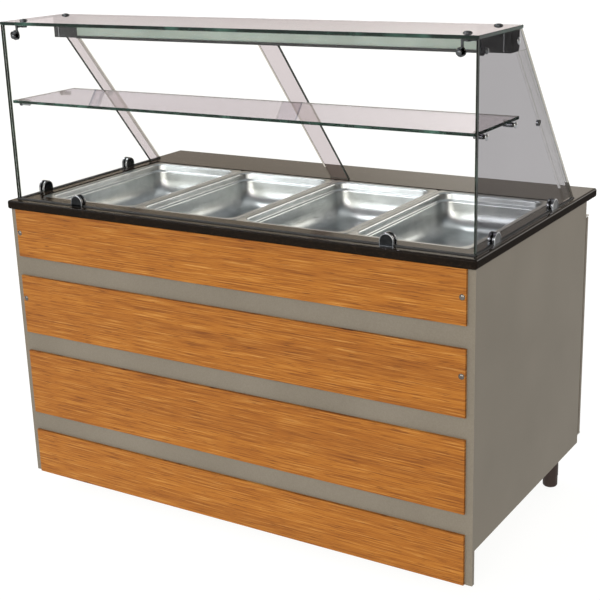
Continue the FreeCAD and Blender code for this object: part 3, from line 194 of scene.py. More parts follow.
def polished_plate(name, dark, light):
    # Chrome or nickel plate on turned and polished brass: a hard mirror with a trace of handling on
    # it, in spots of about 9 mm. The darker copies hold a painted dark reflection in their colour.
    plate, place = blank(name)
    touch = add(plate, "TexNoise", {"Vector": place, "Scale": per_metre(9), "Detail": 3.0})
    colour = add(plate, "ValToRGB", {"Fac": touch}, stops=[(0.35, dark), (0.65, light)])
    gloss = add(plate, "MapRange", {"Value": touch, "To Min": 0.05, "To Max": 0.14})
    return surface(plate, {"Base Color": colour, "Metallic": 1.0, "Roughness": gloss})


def float_glass(name, pale, deep, index):
    # Toughened float glass, bloomed against reflections: clear, with a colour so even that only a
    # slow drift shows. On the shelf, top, strut and right panes that colour is a painted reflection
    # of the room, and on the pale edges it is painted backlight. A low index keeps the upright
    # panes as free of glare as the real ones.
    glass, place = blank(name)
    drift = add(glass, "TexNoise", {"Vector": place, "Scale": per_metre(400), "Detail": 1.0})
    colour = add(glass, "ValToRGB", {"Fac": drift}, stops=[(0.3, deep), (0.7, pale)])
    return surface(glass, {"Base Color": colour, "Roughness": 0.0, "IOR": index,
                           "Transmission Weight": 1.0})


def ground_glass_edge(name, deep, middle, glint):
    # Ground and polished edge of float glass: the long way through the sheet shows the iron in it
    # as dark bottle green, with lighter streaks of about 60 mm along the grinding that are painted
    # highlights. The near-black olive copy is painted shade.
    edge, place = blank(name)
    glints = add(edge, "TexNoise", {"Vector": place, "Scale": per_metre(60), "Detail": 5.0})
    colour = add(edge, "ValToRGB", {"Fac": glints},
                 stops=[(0.30, deep), (0.52, middle), (0.72, glint)])
    gloss = add(edge, "MapRange", {"Value": glints, "To Min": 0.12, "To Max": 0.28})
    return surface(edge, {"Base Color": colour, "Roughness": gloss, "IOR": 1.25,
                          "Transmission Weight": 0.25})


def satin_aluminium():
    # Extruded aluminium, satin anodised: soft grey metal with faint die lines along the lamp. The
    # lines are under 1 mm wide; they are drawn at 3 mm to show.
    metal, place = blank("satin_anodised_aluminium")
    along = add(metal, "Mapping", {"Vector": place, "Scale": per_metre(300, 3, 3)})
    lines = add(metal, "TexNoise", {"Vector": along, "Scale": 1.0, "Detail": 3.0})
    colour = add(metal, "ValToRGB", {"Fac": lines}, stops=[(0.3, "#8e918d"), (0.7, "#a9aca8")])
    gloss = add(metal, "MapRange", {"Value": lines, "To Min": 0.32, "To Max": 0.45})
    return surface(metal, {"Base Color": colour, "Metallic": 1.0, "Roughness": gloss})


def opal_acrylic():
    # Opal acrylic, extruded: milky, with a soft gloss. Its dim grey-green is painted shade over the
    # white acrylic, with a faint green painted in from the glass around it.
    opal, place = blank("opal_acrylic_extrusion")
    milk = add(opal, "TexNoise", {"Vector": place, "Scale": per_metre(120), "Detail": 2.0})
    colour = add(opal, "ValToRGB", {"Fac": milk}, stops=[(0.3, "#7f8b83"), (0.7, "#8d9991")])
    return surface(opal, {"Base Color": colour, "Roughness": 0.35, "IOR": 1.49,
                          "Subsurface Weight": 0.1, "Subsurface Scale": 4 * MM})


def moulded_plastic(name, dark, light, smooth, rough):
    # ABS or acrylic, injection moulded in a spark-eroded tool: even colour, with a fine leathery
    # grain that breaks the highlight. The 0.3 mm grain is drawn at 2 mm to show.
    plastic, place = blank(name)
    grain = add(plastic, "TexNoise", {"Vector": place, "Scale": per_metre(2), "Detail": 3.0})
    colour = add(plastic, "ValToRGB", {"Fac": grain}, stops=[(0.3, dark), (0.7, light)])
    gloss = add(plastic, "MapRange", {"Value": grain, "To Min": smooth, "To Max": rough})
    relief = add(plastic, "Bump", {"Height": grain, "Strength": 0.12, "Distance": 0.1 * MM})
    return surface(plastic, {"Base Color": colour, "Roughness": gloss, "IOR": 1.4,
                             "Normal": relief})


def rigid_foam():
    # Polyurethane foam with its moulded skin: cream yellow, with open cells of about 3 mm.
    foam, place = blank("rigid_foam_skin")
    cells = add(foam, "TexVoronoi", {"Vector": place, "Scale": per_metre(3)})
    colour = add(foam, "ValToRGB", {"Fac": cells}, stops=[(0.1, "#cbb987"), (0.7, "#e2d4a8")])
    relief = add(foam, "Bump", {"Height": cells, "Strength": 0.3, "Distance": 0.4 * MM})
    return surface(foam, {"Base Color": colour, "Roughness": 0.9, "IOR": 1.5, "Normal": relief})


def soft_seal(name, dark, light):
    # Soft PVC or silicone, extruded: dull and dark, with a little bloom in patches of about 14 mm.
    seal, place = blank(name)
    bloom = add(seal, "TexNoise", {"Vector": place, "Scale": per_metre(14), "Detail": 4.0})
    colour = add(seal, "ValToRGB", {"Fac": bloom}, stops=[(0.3, dark), (0.7, light)])
    gloss = add(seal, "MapRange", {"Value": bloom, "To Min": 0.55, "To Max": 0.75})
    return surface(seal, {"Base Color": colour, "Roughness": gloss, "IOR": 1.5})


def copper_tube():
    # Drawn copper tube: bright salmon metal that browns in patches of about 30 mm.
    copper, place = blank("drawn_copper_tube")
    brown = add(copper, "TexNoise", {"Vector": place, "Scale": per_metre(30), "Detail": 4.0})
    colour = add(copper, "ValToRGB", {"Fac": brown}, stops=[(0.3, "#8f5a3e"), (0.65, "#c98562")])
    gloss = add(copper, "MapRange", {"Value": brown, "To Min": 0.42, "To Max": 0.22})
    return surface(copper, {"Base Color": colour, "Metallic": 1.0, "Roughness": gloss})


def baked_paint(name, dark, light):
    # Powder paint baked on sheet steel: an even coat with a 2 mm orange-peel ripple.
    paint, place = blank(name)
    peel = add(paint, "TexNoise", {"Vector": place, "Scale": per_metre(2), "Detail": 2.0})
    colour = add(paint, "ValToRGB", {"Fac": peel}, stops=[(0.3, dark), (0.7, light)])
    gloss = add(paint, "MapRange", {"Value": peel, "To Min": 0.34, "To Max": 0.46})
    relief = add(paint, "Bump", {"Height": peel, "Strength": 0.15, "Distance": 0.15 * MM})
    return surface(paint, {"Base Color": colour, "Roughness": gloss, "IOR": 1.5, "Normal": relief})


STONE = polished_black_stone()
BOARD = grey_melamine()
BAMBOO = lacquered_bamboo()
PAN_STEEL = drawn_stainless()
STEEL = brushed_stainless()
CHROME = polished_plate("polished_chrome_plate", "#8a8c8e", "#989a9c")
# Painted dark reflection: a near-black copy of the chrome, for the dished faces of the clamps.
DARK_REFLECTION_CHROME = polished_plate("painted_dark_reflection_chrome_plate", "#202122", "#2b2c2d")
# Painted dark reflection: a darkened plate for the corner knobs and top fittings, standing in for
# the dark room they mirror.
DARK_REFLECTION_NICKEL = polished_plate("painted_dark_reflection_nickel_plate", "#47494b", "#56585a")
# Painted reflection: the screws' dark brown stands in for the wood around them mirrored in the
# plate.
SCREW_PLATE = polished_plate("painted_wood_reflection_nickel_plate", "#605a54", "#706a63")
CLEAR_GLASS = float_glass("clear_float_glass", "#fdfdfc", "#fafaf9", 1.03)
# Shelf, top and strut glass: their pink-grey colour is a painted reflection of the room, not a tint
# of the glass.
SHELF_GLASS = float_glass("painted_reflection_shelf_glass", "#d0cbd4", "#ccc7d0", 1.15)
TOP_GLASS = float_glass("painted_reflection_top_glass", "#f6ebee", "#f2e7ea", 1.5)
STRUT_GLASS = float_glass("painted_reflection_strut_glass", "#d3cacc", "#cfc6c8", 1.03)
# Right pane: its grey is a painted reflection seen at a low angle; the glass is as clear as the
# left pane's.
SIDE_GLASS = float_glass("painted_glare_side_glass", "#a6a4a6", "#a2a0a2", 1.03)
# Painted backlight: a pale edge where light comes through from behind.
BACKLIT_EDGE = float_glass("painted_backlight_glass_edge", "#c4c1b2", "#b4b1a0", 1.03)
# The green edge's lighter streaks are painted highlights.
GREEN_EDGE = ground_glass_edge("ground_green_glass_edge", "#121a16", "#1d2d27", "#3f5f54")
# Painted shade: a near-black copy of the green edge, for edges turned away from the light.
SHADED_EDGE = ground_glass_edge("painted_shade_glass_edge", "#0b0c08", "#11120c", "#1d1f15")
ALUMINIUM = satin_aluminium()
OPAL = opal_acrylic()
CHARCOAL = moulded_plastic("charcoal_moulded_plastic", "#222322", "#2d2e2c", 0.40, 0.55)
LAMP_BLACK = moulded_plastic("black_lamp_cap_plastic", "#222323", "#2e2f2f", 0.35, 0.48)
FOOT_BROWN = moulded_plastic("brown_black_moulded_plastic", "#23160f", "#33211a", 0.50, 0.65)
KEY_BLACK = moulded_plastic("glossy_black_plastic", "#121213", "#1b1b1c", 0.16, 0.24)
GREEN_LENS = moulded_plastic("green_moulded_acrylic", "#1d5a2f", "#246b39", 0.12, 0.20)
FOAM = rigid_foam()
SEAL = soft_seal("soft_extruded_seal", "#3b3b3c", "#4d4d4f")
SILICONE = soft_seal("black_silicone_bead", "#161616", "#222221")
COPPER = copper_tube()
ENAMEL = baked_paint("black_stoved_enamel", "#151515", "#202020")
GREY_PAINT = baked_paint("grey_powder_paint", "#7c766c", "#878177")

FINISHES = [
    (STONE, ["worktop"]),
    (BOARD, ["left_side_panel", "right_side_panel", "front_panel", "base_panel", "bay_partition",
             "rear_frame", "left_door_panel", "right_door_panel"]),
    (BAMBOO, ["plank_top", "plank_upper", "plank_lower", "plank_bottom"]),
    (PAN_STEEL, ["pan_1", "pan_2", "pan_3", "pan_4"]),
    (STEEL, ["well_liner", "pan_bars", "reserve_shelf", "drain_spout", "hinge_brackets",
             "condenser"]),
    (CHROME, ["glass_clamps", "shelf_pins", "strut_clips"]),
    (DARK_REFLECTION_NICKEL, ["plank_screws", "top_fittings"]),
    (CLEAR_GLASS, ["front_glass", "left_side_glass", "right_side_glass", "top_glass", "shelf_glass",
                   "rear_struts"]),
    (ALUMINIUM, ["lamp_housing"]),
    (LAMP_BLACK, ["lamp_end_boxes"]),
    (CHARCOAL, ["control_plate", "fan_frame", "fan_rotor", "drain_lever"]),
    (FOOT_BROWN, ["foot_front_left", "foot_front_right", "foot_rear_left", "foot_rear_right",
                  "leg_sleeves"]),
    (OPAL, ["lamp_diffuser", "lamp_tube"]),
    (FOAM, ["well_insulation", "left_door_plug", "right_door_plug"]),
    (SEAL, ["left_door_gasket", "right_door_gasket"]),
    (COPPER, ["evaporator_coil", "pipes"]),
    (ENAMEL, ["compressor"]),
    (KEY_BLACK, ["power_rocker", "light_rocker", "up_button", "down_button"]),
    (GREY_PAINT, ["machine_panel"]),
]
for finish, names in FINISHES:
    for name in names:
        for holder in NODES[name].material_slots:
            holder.material = finish


# Pieces: helpers

def piece(name, mesh, body, finishes, stands_for=()):
    """Puts a finished mesh on the counter as a named piece that moves with a body."""
    data = bpy.data.meshes.new(name)
    mesh.to_mesh(data)
    mesh.free()
    made = bpy.data.objects.new(name, data)
    bpy.context.scene.collection.objects.link(made)
    for finish in finishes:
        data.materials.append(finish)
    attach(made, body)
    if stands_for:
        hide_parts(*stands_for)
    return made


def rounded_ring(mesh, middle, half, corner, height, steps=10):
    """Corner points of a rounded rectangle at one height, anticlockwise from above."""
    ring = []
    for turn, (side, end) in enumerate(((1, 1), (-1, 1), (-1, -1), (1, -1))):
        centre = (middle[0] + side * (half[0] - corner), middle[1] + end * (half[1] - corner))
        for step in range(steps + 1):
            angle = math.radians(90 * (turn + step / steps))
            ring.append(mesh.verts.new((centre[0] + corner * math.cos(angle),
                                        centre[1] + corner * math.sin(angle), height)))
    return ring


def bridge(mesh, outer, inner):
    """Faces between two rings with as many points each."""
    for i in range(len(outer)):
        j = (i + 1) % len(outer)
        face = mesh.faces.new((outer[i], outer[j], inner[j], inner[i]))
        face.smooth = True


def turned(mesh, start, way, section, steps=24):
    """Turned shape: (radius, rise) points in millimetres, revolved round a line from start
    along way."""
    axis = Vector(way).normalized()
    across = axis.orthogonal().normalized()
    other = axis.cross(across)
    spokes = [across * math.cos(math.tau * i / steps) + other * math.sin(math.tau * i / steps)
              for i in range(steps)]
    rings = []
    for radius, rise in section:
        centre = Vector(start) + axis * rise * MM
        rings.append([mesh.verts.new(centre + radius * MM * spoke) for spoke in spokes])
    for outer, inner in zip(rings, rings[1:]):
        bridge(mesh, outer, inner)
    mesh.faces.new(rings[-1])
    mesh.faces.new(list(reversed(rings[0])))
    bmesh.ops.recalc_face_normals(mesh, faces=mesh.faces)


def bar(mesh, section, start, end, rounding, along="x"):
    """Straight bar along X or Y: an outline across it, in metres, drawn out from start to end,
    with soft edges."""
    ends = [[mesh.verts.new((x, y, z) if along == "x" else (y, x, z)) for y, z in section]
            for x in (start, end)]
    made = [mesh.faces.new(ends[0]), mesh.faces.new(list(reversed(ends[1])))]
    for i in range(len(section)):
        j = (i + 1) % len(section)
        made.append(mesh.faces.new((ends[0][j], ends[0][i], ends[1][i], ends[1][j])))
    edges = {edge for face in made for edge in face.edges}
    bmesh.ops.recalc_face_normals(mesh, faces=made)
    bmesh.ops.bevel(mesh, geom=list(edges), offset=rounding, segments=2, affect="EDGES",
                    profile=0.5)


# Pans

# Section of a pan from its lip inwards: inset from the rim's outline, height over the rim's seat
# and corner radius, in millimetres. The rim turns into a wall with a stacking step and a round
# floor.
PAN_SECTION = [
    (0.0, 0.05, 12), (0.0, 1.4, 12), (0.3, 2.1, 12), (1.0, 2.6, 12), (2.0, 2.7, 13),
    (4.0, 2.2, 15), (6.0, 2.1, 17), (11.0, 2.1, 25), (13.6, 1.5, 28), (15.2, 0.0, 30),
    (16.0, -3, 30), (16.4, -14, 30), (16.9, -16, 30), (18.2, -17.4, 31), (20.0, -18.2, 31),
    (21.2, -19.2, 32), (22.0, -21.2, 32), (22.3, -24, 32), (24.0, -44, 34), (25.4, -54, 36),
    (28.5, -65, 39), (33.5, -75, 43), (41, -83.5, 48), (51, -90.5, 54), (63, -95, 58),
    (78, -97.2, 60), (100, -97.6, 58), (130, -97.2, 30),
]
PAN_SHEET = 1.2 * MM


def pan(number):
    """Pan pressed from one sheet: its section carried round the rim of its solid."""
    node = f"pan_{number}"
    low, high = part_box(node)
    middle = ((low.x + high.x) / 2, (low.y + high.y) / 2)
    seat = high.z - PAN_SHEET
    mesh = bmesh.new()
    rings = []
    for inset, height, corner in PAN_SECTION:
        half = ((high.x - low.x) / 2 - inset * MM, (high.y - low.y) / 2 - inset * MM)
        rings.append(rounded_ring(mesh, middle, half, corner * MM, seat + height * MM))
    for outer, inner in zip(rings, rings[1:]):
        bridge(mesh, outer, inner)
    mesh.faces.new(rings[-1]).smooth = True
    bmesh.ops.recalc_face_normals(mesh, faces=mesh.faces)
    if sum(face.normal.z * face.calc_area() for face in mesh.faces) < 0:
        bmesh.ops.reverse_faces(mesh, faces=mesh.faces)
    made = piece(f"pan_tub_{number}", mesh, node, [PAN_STEEL], [node])
    wall = made.modifiers.new("sheet", "SOLIDIFY")
    wall.thickness = PAN_SHEET
    wall.offset = -1


for number in range(1, 5):
    pan(number)


# Glass

# Sheets that meet are drawn a hair apart, so that light leaves one before it enters the next.
GLASS_JOINT = 0.3 * MM

# Points of a solid's mesh that are this near are one point, and faces that turn less than this are
# one face.
WELD_GAP = 0.01 * MM
FLAT_ANGLE = math.radians(1)

# A face is part of the sheet, and not its edge, where its normal is this near to the sheet's own.
SHEET_FACE = 0.9

# An edge looks sideways, or backwards, where its normal's share along X, or Y, is over this.
SIDEWAYS = 0.5
BACKWARDS = 0.3

# Arrises of a sheet: their width, the shortest edge that has one, and how sharp it must be.
ARRIS_WIDTH = 0.8 * MM
ARRIS_EDGE = 5 * MM
ARRIS_ANGLE = math.radians(30)

# Finishes of a pane's faces, by their place in its list: its own glass, the green edge, a pale edge
# of painted backlight, a near-black olive edge of painted shade, and clear glass where a sheet is
# plain all over.
SHEET, GREEN, BACKLIT, SHADED, PLAIN = range(5)

# Struts further right than this are the fin against the right pane.
RIGHT_FIN = 0.5


def pane(name, node, glass, edge=lambda face: GREEN, plain=lambda face: False):
    """Glass sheet over its solid, with ground arrises and the edge that each side asks for."""
    mesh = bmesh.new()
    mesh.from_mesh(NODES[node].data)
    bmesh.ops.remove_doubles(mesh, verts=mesh.verts, dist=WELD_GAP)
    bmesh.ops.dissolve_limit(mesh, angle_limit=FLAT_ANGLE, verts=mesh.verts, edges=mesh.edges)
    rest = set(mesh.faces)
    while rest:
        sheet, near = set(), {rest.pop()}
        while near:
            face = near.pop()
            sheet.add(face)
            near |= {other for side in face.edges for other in side.link_faces} & rest
            rest -= near
        flat = max(sheet, key=lambda face: face.calc_area()).normal.copy()
        for face in sheet:
            face.smooth = False
            if plain(face):
                face.material_index = PLAIN
            elif abs(face.normal.dot(flat)) > SHEET_FACE:
                face.material_index = SHEET
            else:
                face.material_index = edge(face)
    mesh.normal_update()
    for corner in mesh.verts:
        corner.co -= corner.normal * GLASS_JOINT
    sharp = [side for side in mesh.edges
             if side.calc_length() > ARRIS_EDGE and side.calc_face_angle(0) > ARRIS_ANGLE]
    ground = bmesh.ops.bevel(mesh, geom=sharp, offset=ARRIS_WIDTH, segments=1, affect="EDGES",
                             material=GREEN)
    for face in ground["faces"]:
        if plain(face):
            face.material_index = BACKLIT
    finishes = [glass, GREEN_EDGE, BACKLIT_EDGE, SHADED_EDGE, CLEAR_GLASS]
    made = piece(name, mesh, "counter", finishes, [node])
    made.visible_shadow = False


def front_edge(face):
    """Finish of the front pane's edge: near-black olive on its upright sides, which is painted
    shade.
    """
    return SHADED if abs(face.normal.x) > SIDEWAYS else GREEN


def side_edge(face):
    """Finish of a side pane's edge: pale painted backlight along the slanted back, where light
    comes through, and painted shade elsewhere.
    """
    return BACKLIT if face.normal.y > BACKWARDS else SHADED


def strut_edge(face):
    """Finish of a strut's edge: pale painted backlight on the faces that light comes through from
    behind, and painted shade on the others.
    """
    return BACKLIT if face.normal.y > BACKWARDS or face.normal.x < -SIDEWAYS else SHADED


def right_fin(face):
    """Whether a strut's face is on the fin against the right pane, whose grey is a painted
    reflection; the fin is clear all over.
    """
    return face.calc_center_median().x > RIGHT_FIN


pane("front_pane", "front_glass", CLEAR_GLASS, front_edge)
pane("left_pane", "left_side_glass", CLEAR_GLASS, side_edge)
pane("right_pane", "right_side_glass", SIDE_GLASS, side_edge)
pane("top_pane", "top_glass", TOP_GLASS)
pane("shelf_pane", "shelf_glass", SHELF_GLASS)
pane("strut_panes", "rear_struts", STRUT_GLASS, strut_edge, right_fin)


# Fittings

PANE_LEFT, PANE_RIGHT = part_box("left_side_glass")[0].x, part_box("right_side_glass")[1].x
PANE_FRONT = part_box("front_glass")[0].y
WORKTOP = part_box("worktop")[1].z

# Clamps: half-round outline, where they stand along the panes, and each cheek's inset and depth in
# millimetres from the glass outwards. Its face is dished over the last bands between these, which
# have the second finish of the clamps, a painted dark reflection. Its foot is lifted by a share of
# the inset.
CLAMP_RADIUS = 19 * MM
CLAMP_RISE = 12 * MM
CLAMP_STEPS = 24
CLAMP_FRONT = (-0.473, 0.473)
CLAMP_SIDE = (-0.2615, 0.1085)
CHEEK_SECTION = [(0, 0), (0, 4.6), (0.4, 5.6), (1.0, 6.0), (1.9, 6.0), (2.5, 5.4), (3.1, 5.2)]
CHEEK_FOOT = 0.4
PAINTED_DARK_BANDS = 2
PAINTED_DARK = 1

# Turned fittings: radius and rise in millimetres.
GLASS_STUD = [(9.0, 0.0), (9.0, 1.4), (8.2, 2.9), (5.6, 4.1), (2.4, 4.6), (0.6, 4.7)]
CORNER_KNOB = [(7.5, 0.0), (7.5, 1.4), (6.9, 2.8), (5.2, 4.2), (2.8, 5.0), (0.6, 5.2)]
SCREW_DOME = [(7.5, 0.0), (7.3, 0.45), (6.6, 1.1), (5.4, 1.8), (3.8, 2.4), (2.0, 2.8), (0.5, 2.95)]
PANEL_SCREW = [(4.4, 0.0), (4.4, 0.8), (3.6, 1.9), (1.9, 2.6), (0.5, 2.8)]
PLATE_SCREW = [(2.6, 0.0), (2.6, 0.5), (2.1, 1.1), (1.1, 1.5), (0.3, 1.6)]
PILOT_LENS = [(4.2, 0.0), (4.2, 1.0), (3.4, 1.2), (3.2, 2.2), (2.2, 3.0), (0.6, 3.3)]

# Places of the fittings: a plank screw's centre in from its box, a knob's below the front pane's
# top and in from its sides, the back screws' in from their corners, and the lens's along the
# control plate from its middle.
SCREW_RADIUS = 7.5 * MM
KNOB_DROP = 29 * MM
KNOB_INSET = 44 * MM
PANEL_SCREW_INSET = 16 * MM
PLATE_SCREW_INSET = 7 * MM
LENS_OFFSET = 8 * MM

# Seam of a lamp cap: where it runs in from the pane, how proud it is, and how far it stays from the
# cap's bottom and top.
SEAM_SPAN = (27 * MM, 24 * MM)
SEAM_PROUD = 1.2 * MM
SEAM_ENDS = (2 * MM, 1 * MM)
SEAM_ROUNDING = 0.3 * MM

# Silicone strip: how far it spreads past the glass at its foot and top, and its height.
SILICONE_FOOT = 2.2 * MM
SILICONE_TOP = 0.2 * MM
SILICONE_RISE = 2.6 * MM
SILICONE_ROUNDING = 0.3 * MM

# Lip of the lamp, folded round its lower front edge: how far it reaches in front, below, up the
# front and back under the lamp, and the gap that the fold leaves.
LIP_PROUD = 2.5 * MM
LIP_DROP = 1.5 * MM
LIP_RISE = 6 * MM
LIP_UNDER = 4 * MM
LIP_GAP = 0.2 * MM
LIP_ROUNDING = 0.4 * MM

# Thermostat window: where it runs along the plate, half its height, and how proud it is.
WINDOW_SPAN = (14 * MM, 50 * MM)
WINDOW_HALF = 13 * MM
WINDOW_PROUD = 1.6 * MM
WINDOW_ROUNDING = 0.6 * MM


def cheek(mesh, middle, way):
    """Half-round cheek of a clamp on the worktop: a soft rim, and an outer face that is dished
    inside a ring and carries a painted dark reflection."""
    way = Vector(way)
    along = Vector((-way.y, way.x, 0))
    outline = [(-CLAMP_RADIUS, 0)]
    for i in range(CLAMP_STEPS + 1):
        angle = math.pi * i / CLAMP_STEPS
        outline.append((-CLAMP_RADIUS * math.cos(angle),
                        CLAMP_RISE + CLAMP_RADIUS * math.sin(angle)))
    outline.append((CLAMP_RADIUS, 0))
    rings = []
    for inset, depth in CHEEK_SECTION:
        share = 1 - inset * MM / CLAMP_RADIUS
        ring = []
        for a, b in outline:
            height = b * share if b else inset * MM * CHEEK_FOOT
            ring.append(mesh.verts.new(Vector(middle) + way * depth * MM + along * a * share
                                       + Vector((0, 0, height))))
        rings.append(ring)
    made = [mesh.faces.new(rings[0]), mesh.faces.new(rings[-1])]
    for outer, inner in zip(rings, rings[1:]):
        for i in range(len(outer)):
            j = (i + 1) % len(outer)
            made.append(mesh.faces.new((outer[i], outer[j], inner[j], inner[i])))
    for face in [made[1]] + made[-PAINTED_DARK_BANDS * len(outline):]:
        face.material_index = PAINTED_DARK
    bmesh.ops.recalc_face_normals(mesh, faces=made)


def clamps():
    """Polished clamps that hold the panes: two half-round cheeks each, either side of the glass."""
    mesh = bmesh.new()
    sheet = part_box("front_glass")[1].y - PANE_FRONT
    for x in CLAMP_FRONT:
        cheek(mesh, (x, PANE_FRONT, WORKTOP), (0, -1, 0))
        cheek(mesh, (x, PANE_FRONT + sheet, WORKTOP), (0, 1, 0))
    for y in CLAMP_SIDE:
        for side, way in ((PANE_LEFT, -1), (PANE_RIGHT, 1)):
            cheek(mesh, (side, y, WORKTOP), (way, 0, 0))
            cheek(mesh, (side - way * sheet, y, WORKTOP), (-way, 0, 0))
    piece("clamp_cheeks", mesh, "counter", [CHROME, DARK_REFLECTION_CHROME], ["glass_clamps"])


def screw_domes():
    """Round heads of the plank screws, domed all over so that their rims mirror the wood."""
    low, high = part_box("plank_screws")
    mesh = bmesh.new()
    for x in (low.x + SCREW_RADIUS, high.x - SCREW_RADIUS):
        for z in (low.z + SCREW_RADIUS, high.z - SCREW_RADIUS):
            turned(mesh, (x, high.y, z), (0, -1, 0), SCREW_DOME)
    piece("screw_domes", mesh, "counter", [SCREW_PLATE], ["plank_screws"])


def pane_studs():
    """Knobs outside the panes, that hold the corner fittings."""
    mesh = bmesh.new()
    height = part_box("front_glass")[1].z - KNOB_DROP
    for side, way in ((PANE_LEFT, -1), (PANE_RIGHT, 1)):
        turned(mesh, (side, PANE_FRONT + KNOB_INSET, height), (way, 0, 0), CORNER_KNOB)
        turned(mesh, (side - way * KNOB_INSET, PANE_FRONT, height), (0, -1, 0), CORNER_KNOB)
    piece("pane_studs", mesh, "counter", [DARK_REFLECTION_NICKEL])


def lamp_caps():
    """Studs through the side panes into the lamp's end boxes, and the bright seam of each cap."""
    low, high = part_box("lamp_end_boxes")
    mesh = bmesh.new()
    middle = ((low.y + high.y) / 2, (low.z + high.z) / 2)
    bottom, top = low.z + SEAM_ENDS[0], high.z - SEAM_ENDS[1]
    seam = [(low.y - SEAM_PROUD, bottom), (low.y, bottom), (low.y, top), (low.y - SEAM_PROUD, top)]
    for side, way in ((PANE_LEFT, -1), (PANE_RIGHT, 1)):
        turned(mesh, (side, *middle), (way, 0, 0), GLASS_STUD)
        start, end = (side - way * inset for inset in SEAM_SPAN)
        bar(mesh, seam, start, end, SEAM_ROUNDING)
    piece("lamp_caps", mesh, "counter", [CHROME])


def pane_seals():
    """Setting strips of black silicone under the front and side panes."""
    mesh = bmesh.new()
    top = WORKTOP + SILICONE_RISE
    for node, along in (("front_glass", "x"), ("left_side_glass", "y"), ("right_side_glass", "y")):
        low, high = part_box(node)
        across, length = (low.y, high.y), (low.x, high.x)
        if along == "y":
            across, length = length, across
        outline = [(across[0] - SILICONE_FOOT, WORKTOP), (across[1] + SILICONE_FOOT, WORKTOP),
                   (across[1] + SILICONE_TOP, top), (across[0] - SILICONE_TOP, top)]
        bar(mesh, outline, *length, SILICONE_ROUNDING, along)
    piece("pane_seals", mesh, "counter", [SILICONE])


def lamp_lip():
    """Folded lip along the lower front edge of the lamp."""
    low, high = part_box("lamp_diffuser")
    mesh = bmesh.new()
    front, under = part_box("lamp_housing")[0].y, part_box("lamp_housing")[0].z
    outline = [(front - LIP_PROUD, under - LIP_DROP), (front + LIP_UNDER, under - LIP_DROP),
               (front + LIP_UNDER, under), (front - LIP_GAP, under),
               (front - LIP_GAP, under + LIP_RISE), (front - LIP_PROUD, under + LIP_RISE)]
    bar(mesh, outline, low.x, high.x, LIP_ROUNDING)
    piece("lamp_lip", mesh, "counter", [LAMP_BLACK])


def back_screws():
    """Screws of the louvred machine panel and of the control plate."""
    mesh = bmesh.new()
    for node, inset, section in (("machine_panel", PANEL_SCREW_INSET, PANEL_SCREW),
                                 ("control_plate", PLATE_SCREW_INSET, PLATE_SCREW)):
        low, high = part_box(node)
        for x in (low.x + inset, high.x - inset):
            for z in (low.z + inset, high.z - inset):
                turned(mesh, (x, high.y, z), (0, 1, 0), section)
    piece("back_screws", mesh, "counter", [STEEL])


def control_window():
    """Blank window of the thermostat, raised and soft at its edges."""
    low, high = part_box("control_plate")
    middle = (low.z + high.z) / 2
    bottom, top, face = middle - WINDOW_HALF, middle + WINDOW_HALF, high.y + WINDOW_PROUD
    mesh = bmesh.new()
    outline = [(high.y, bottom), (face, bottom), (face, top), (high.y, top)]
    start, end = (low.x + inset for inset in WINDOW_SPAN)
    bar(mesh, outline, start, end, WINDOW_ROUNDING)
    piece("control_window", mesh, "counter", [KEY_BLACK])


def pilot_lens():
    """Lens of the running light, between the thermostat and the switches."""
    low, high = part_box("control_plate")
    mesh = bmesh.new()
    x, z = (low.x + high.x) / 2 + LENS_OFFSET, (low.z + high.z) / 2
    turned(mesh, (x, high.y, z), (0, 1, 0), PILOT_LENS)
    piece("pilot_lens", mesh, "counter", [GREEN_LENS])


clamps()
screw_domes()
pane_studs()
lamp_caps()
pane_seals()
lamp_lip()
back_screws()
control_window()
pilot_lens()


# Stage, light and camera

# The floor reaches so far that its edge is never seen.
FLOOR_REACH = 60


def studio_floor():
    # Painted studio floor, flooded with light until it is nearly white: matt, with a slow drift of
    # dust over about 900 mm, and a glow of its own that stands in for the flood.
    floor_paint, place = blank("pale_studio_floor")
    dust = add(floor_paint, "TexNoise", {"Vector": place, "Scale": per_metre(900), "Detail": 2.0})
    colour = add(floor_paint, "ValToRGB", {"Fac": dust}, stops=[(0.3, "#646464"), (0.7, "#666665")])
    surface(floor_paint, {"Base Color": colour, "Roughness": 0.9, "Emission Strength": 0.95,
                          "Emission Color": linear("#fbfbfa")})
    corners = [(x * FLOOR_REACH, y * FLOOR_REACH, 0)
               for x, y in ((-1, -1), (1, -1), (1, 1), (-1, 1))]
    data = bpy.data.meshes.new("studio_floor")
    data.from_pydata(corners, [], [(0, 1, 2, 3)])
    data.materials.append(floor_paint)
    floor = bpy.data.objects.new("studio_floor", data)
    bpy.context.scene.collection.objects.link(floor)


# Soft boxes of the studio: the way to each, how tightly it is bunched, its colour and strength.
SOFT_BOXES = [
    ((0.22, -0.92, 0.32), 8, "#fffaf2", 4.3),
    ((0.05, 0.30, 0.95), 8, "#ffffff", 0.9),
    ((-0.90, -0.25, 0.45), 10, "#ffffff", 1.2),
    ((-0.42, -0.87, 0.27), 90, "#f4f8ff", 10.0),
    ((-0.55, 0.10, 0.83), 60, "#fbfdff", 9.0),
    ((0.42, 0.87, 0.26), 60, "#fffdf8", 4.0),
    ((-0.36, 0.90, 0.24), 120, "#fffdf8", 0.8),
]


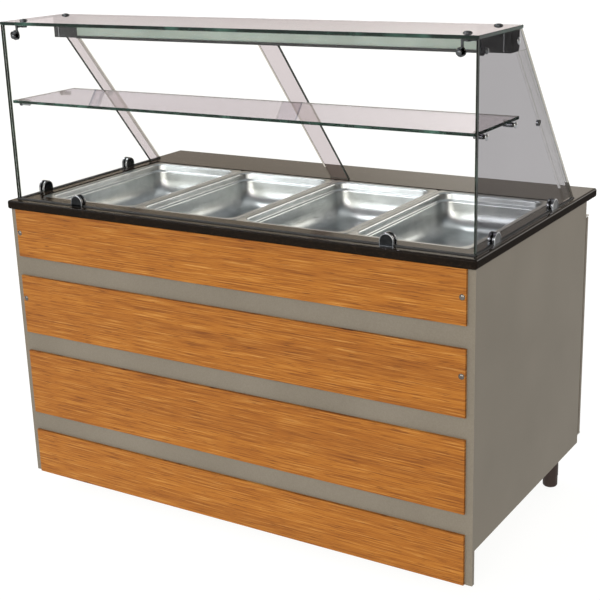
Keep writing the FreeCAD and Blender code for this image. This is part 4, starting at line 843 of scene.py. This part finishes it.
def studio_light():
    """Pale wall behind the counter, a dim room before it, and soft boxes that show in the steel."""
    world = bpy.data.worlds.new("studio_room")
    bpy.context.scene.world = world
    world.use_nodes = True
    world.node_tree.nodes.clear()
    way = add(world, "TexCoord").outputs["Generated"]
    parts = add(world, "SeparateXYZ", {"Vector": way})
    behind = add(world, "ValToRGB", {"Fac": parts.outputs["Z"]},
                 stops=[(0.0, "#e9e2e2"), (0.12, "#dfd5d2"), (0.22, "#dccbb0"), (0.34, "#b7ab9c"),
                        (0.55, "#4d545c"), (1.0, "#6d7379")])
    before = add(world, "ValToRGB", {"Fac": parts.outputs["Z"]},
                 stops=[(0.0, "#787168"), (0.34, "#6f6962"), (0.55, "#4d545c"), (1.0, "#6d7379")])
    share = add(world, "MapRange", {"Value": parts.outputs["Y"], "From Min": -0.3,
                                    "From Max": 0.5})
    tone = add(world, "Mix", {MIX_SHARE: share, MIX_UNDER: before, MIX_OVER: behind},
               data_type="RGBA").outputs[MIX_RESULT]
    room = add(world, "Background", {"Color": tone, "Strength": 1.0})
    for aim, bunch, colour, power in SOFT_BOXES:
        turn = add(world, "VectorMath", {0: way, 1: Vector(aim).normalized()},
                   operation="DOT_PRODUCT").outputs["Value"]
        facing = add(world, "Math", {0: turn, 1: 0.0}, operation="MAXIMUM")
        spread = add(world, "Math", {0: facing, 1: bunch}, operation="POWER")
        strength = add(world, "Math", {0: spread, 1: power}, operation="MULTIPLY")
        glow = add(world, "Background", {"Color": linear(colour), "Strength": strength})
        room = add(world, "AddShader", {0: room, 1: glow})
    add(world, "OutputWorld", {"Surface": room})


# Camera of the photograph, fitted on the pans and the counter's corners: its place in metres, its
# turn round the counter, its look down and its lean in degrees, its lens and sensor in millimetres,
# and how far it sees in metres.
CAMERA_PLACE = (1.78689, -2.84945, 1.61971)
CAMERA_TURN = 32.194
CAMERA_DOWN = 17.589
CAMERA_LEAN = -1.794
CAMERA_LENS = 74.674
CAMERA_SENSOR = 36
CAMERA_REACH = 300


def photo_camera():
    """Camera where the photograph was taken from."""
    turn, tilt, lean = (math.radians(v) for v in (CAMERA_TURN, 90 - CAMERA_DOWN, CAMERA_LEAN))
    lens = bpy.data.cameras.new("photo_camera")
    lens.sensor_width = CAMERA_SENSOR
    lens.lens = CAMERA_LENS
    lens.clip_end = CAMERA_REACH
    made = bpy.data.objects.new("photo_camera", lens)
    made.matrix_world = (Matrix.Translation(CAMERA_PLACE) @ Matrix.Rotation(turn, 4, "Z")
                         @ Matrix.Rotation(tilt, 4, "X") @ Matrix.Rotation(lean, 4, "Z"))
    bpy.context.scene.collection.objects.link(made)
    bpy.context.scene.camera = made


studio_floor()
studio_light()
photo_camera()
bpy.context.scene.view_settings.view_transform = "Standard"
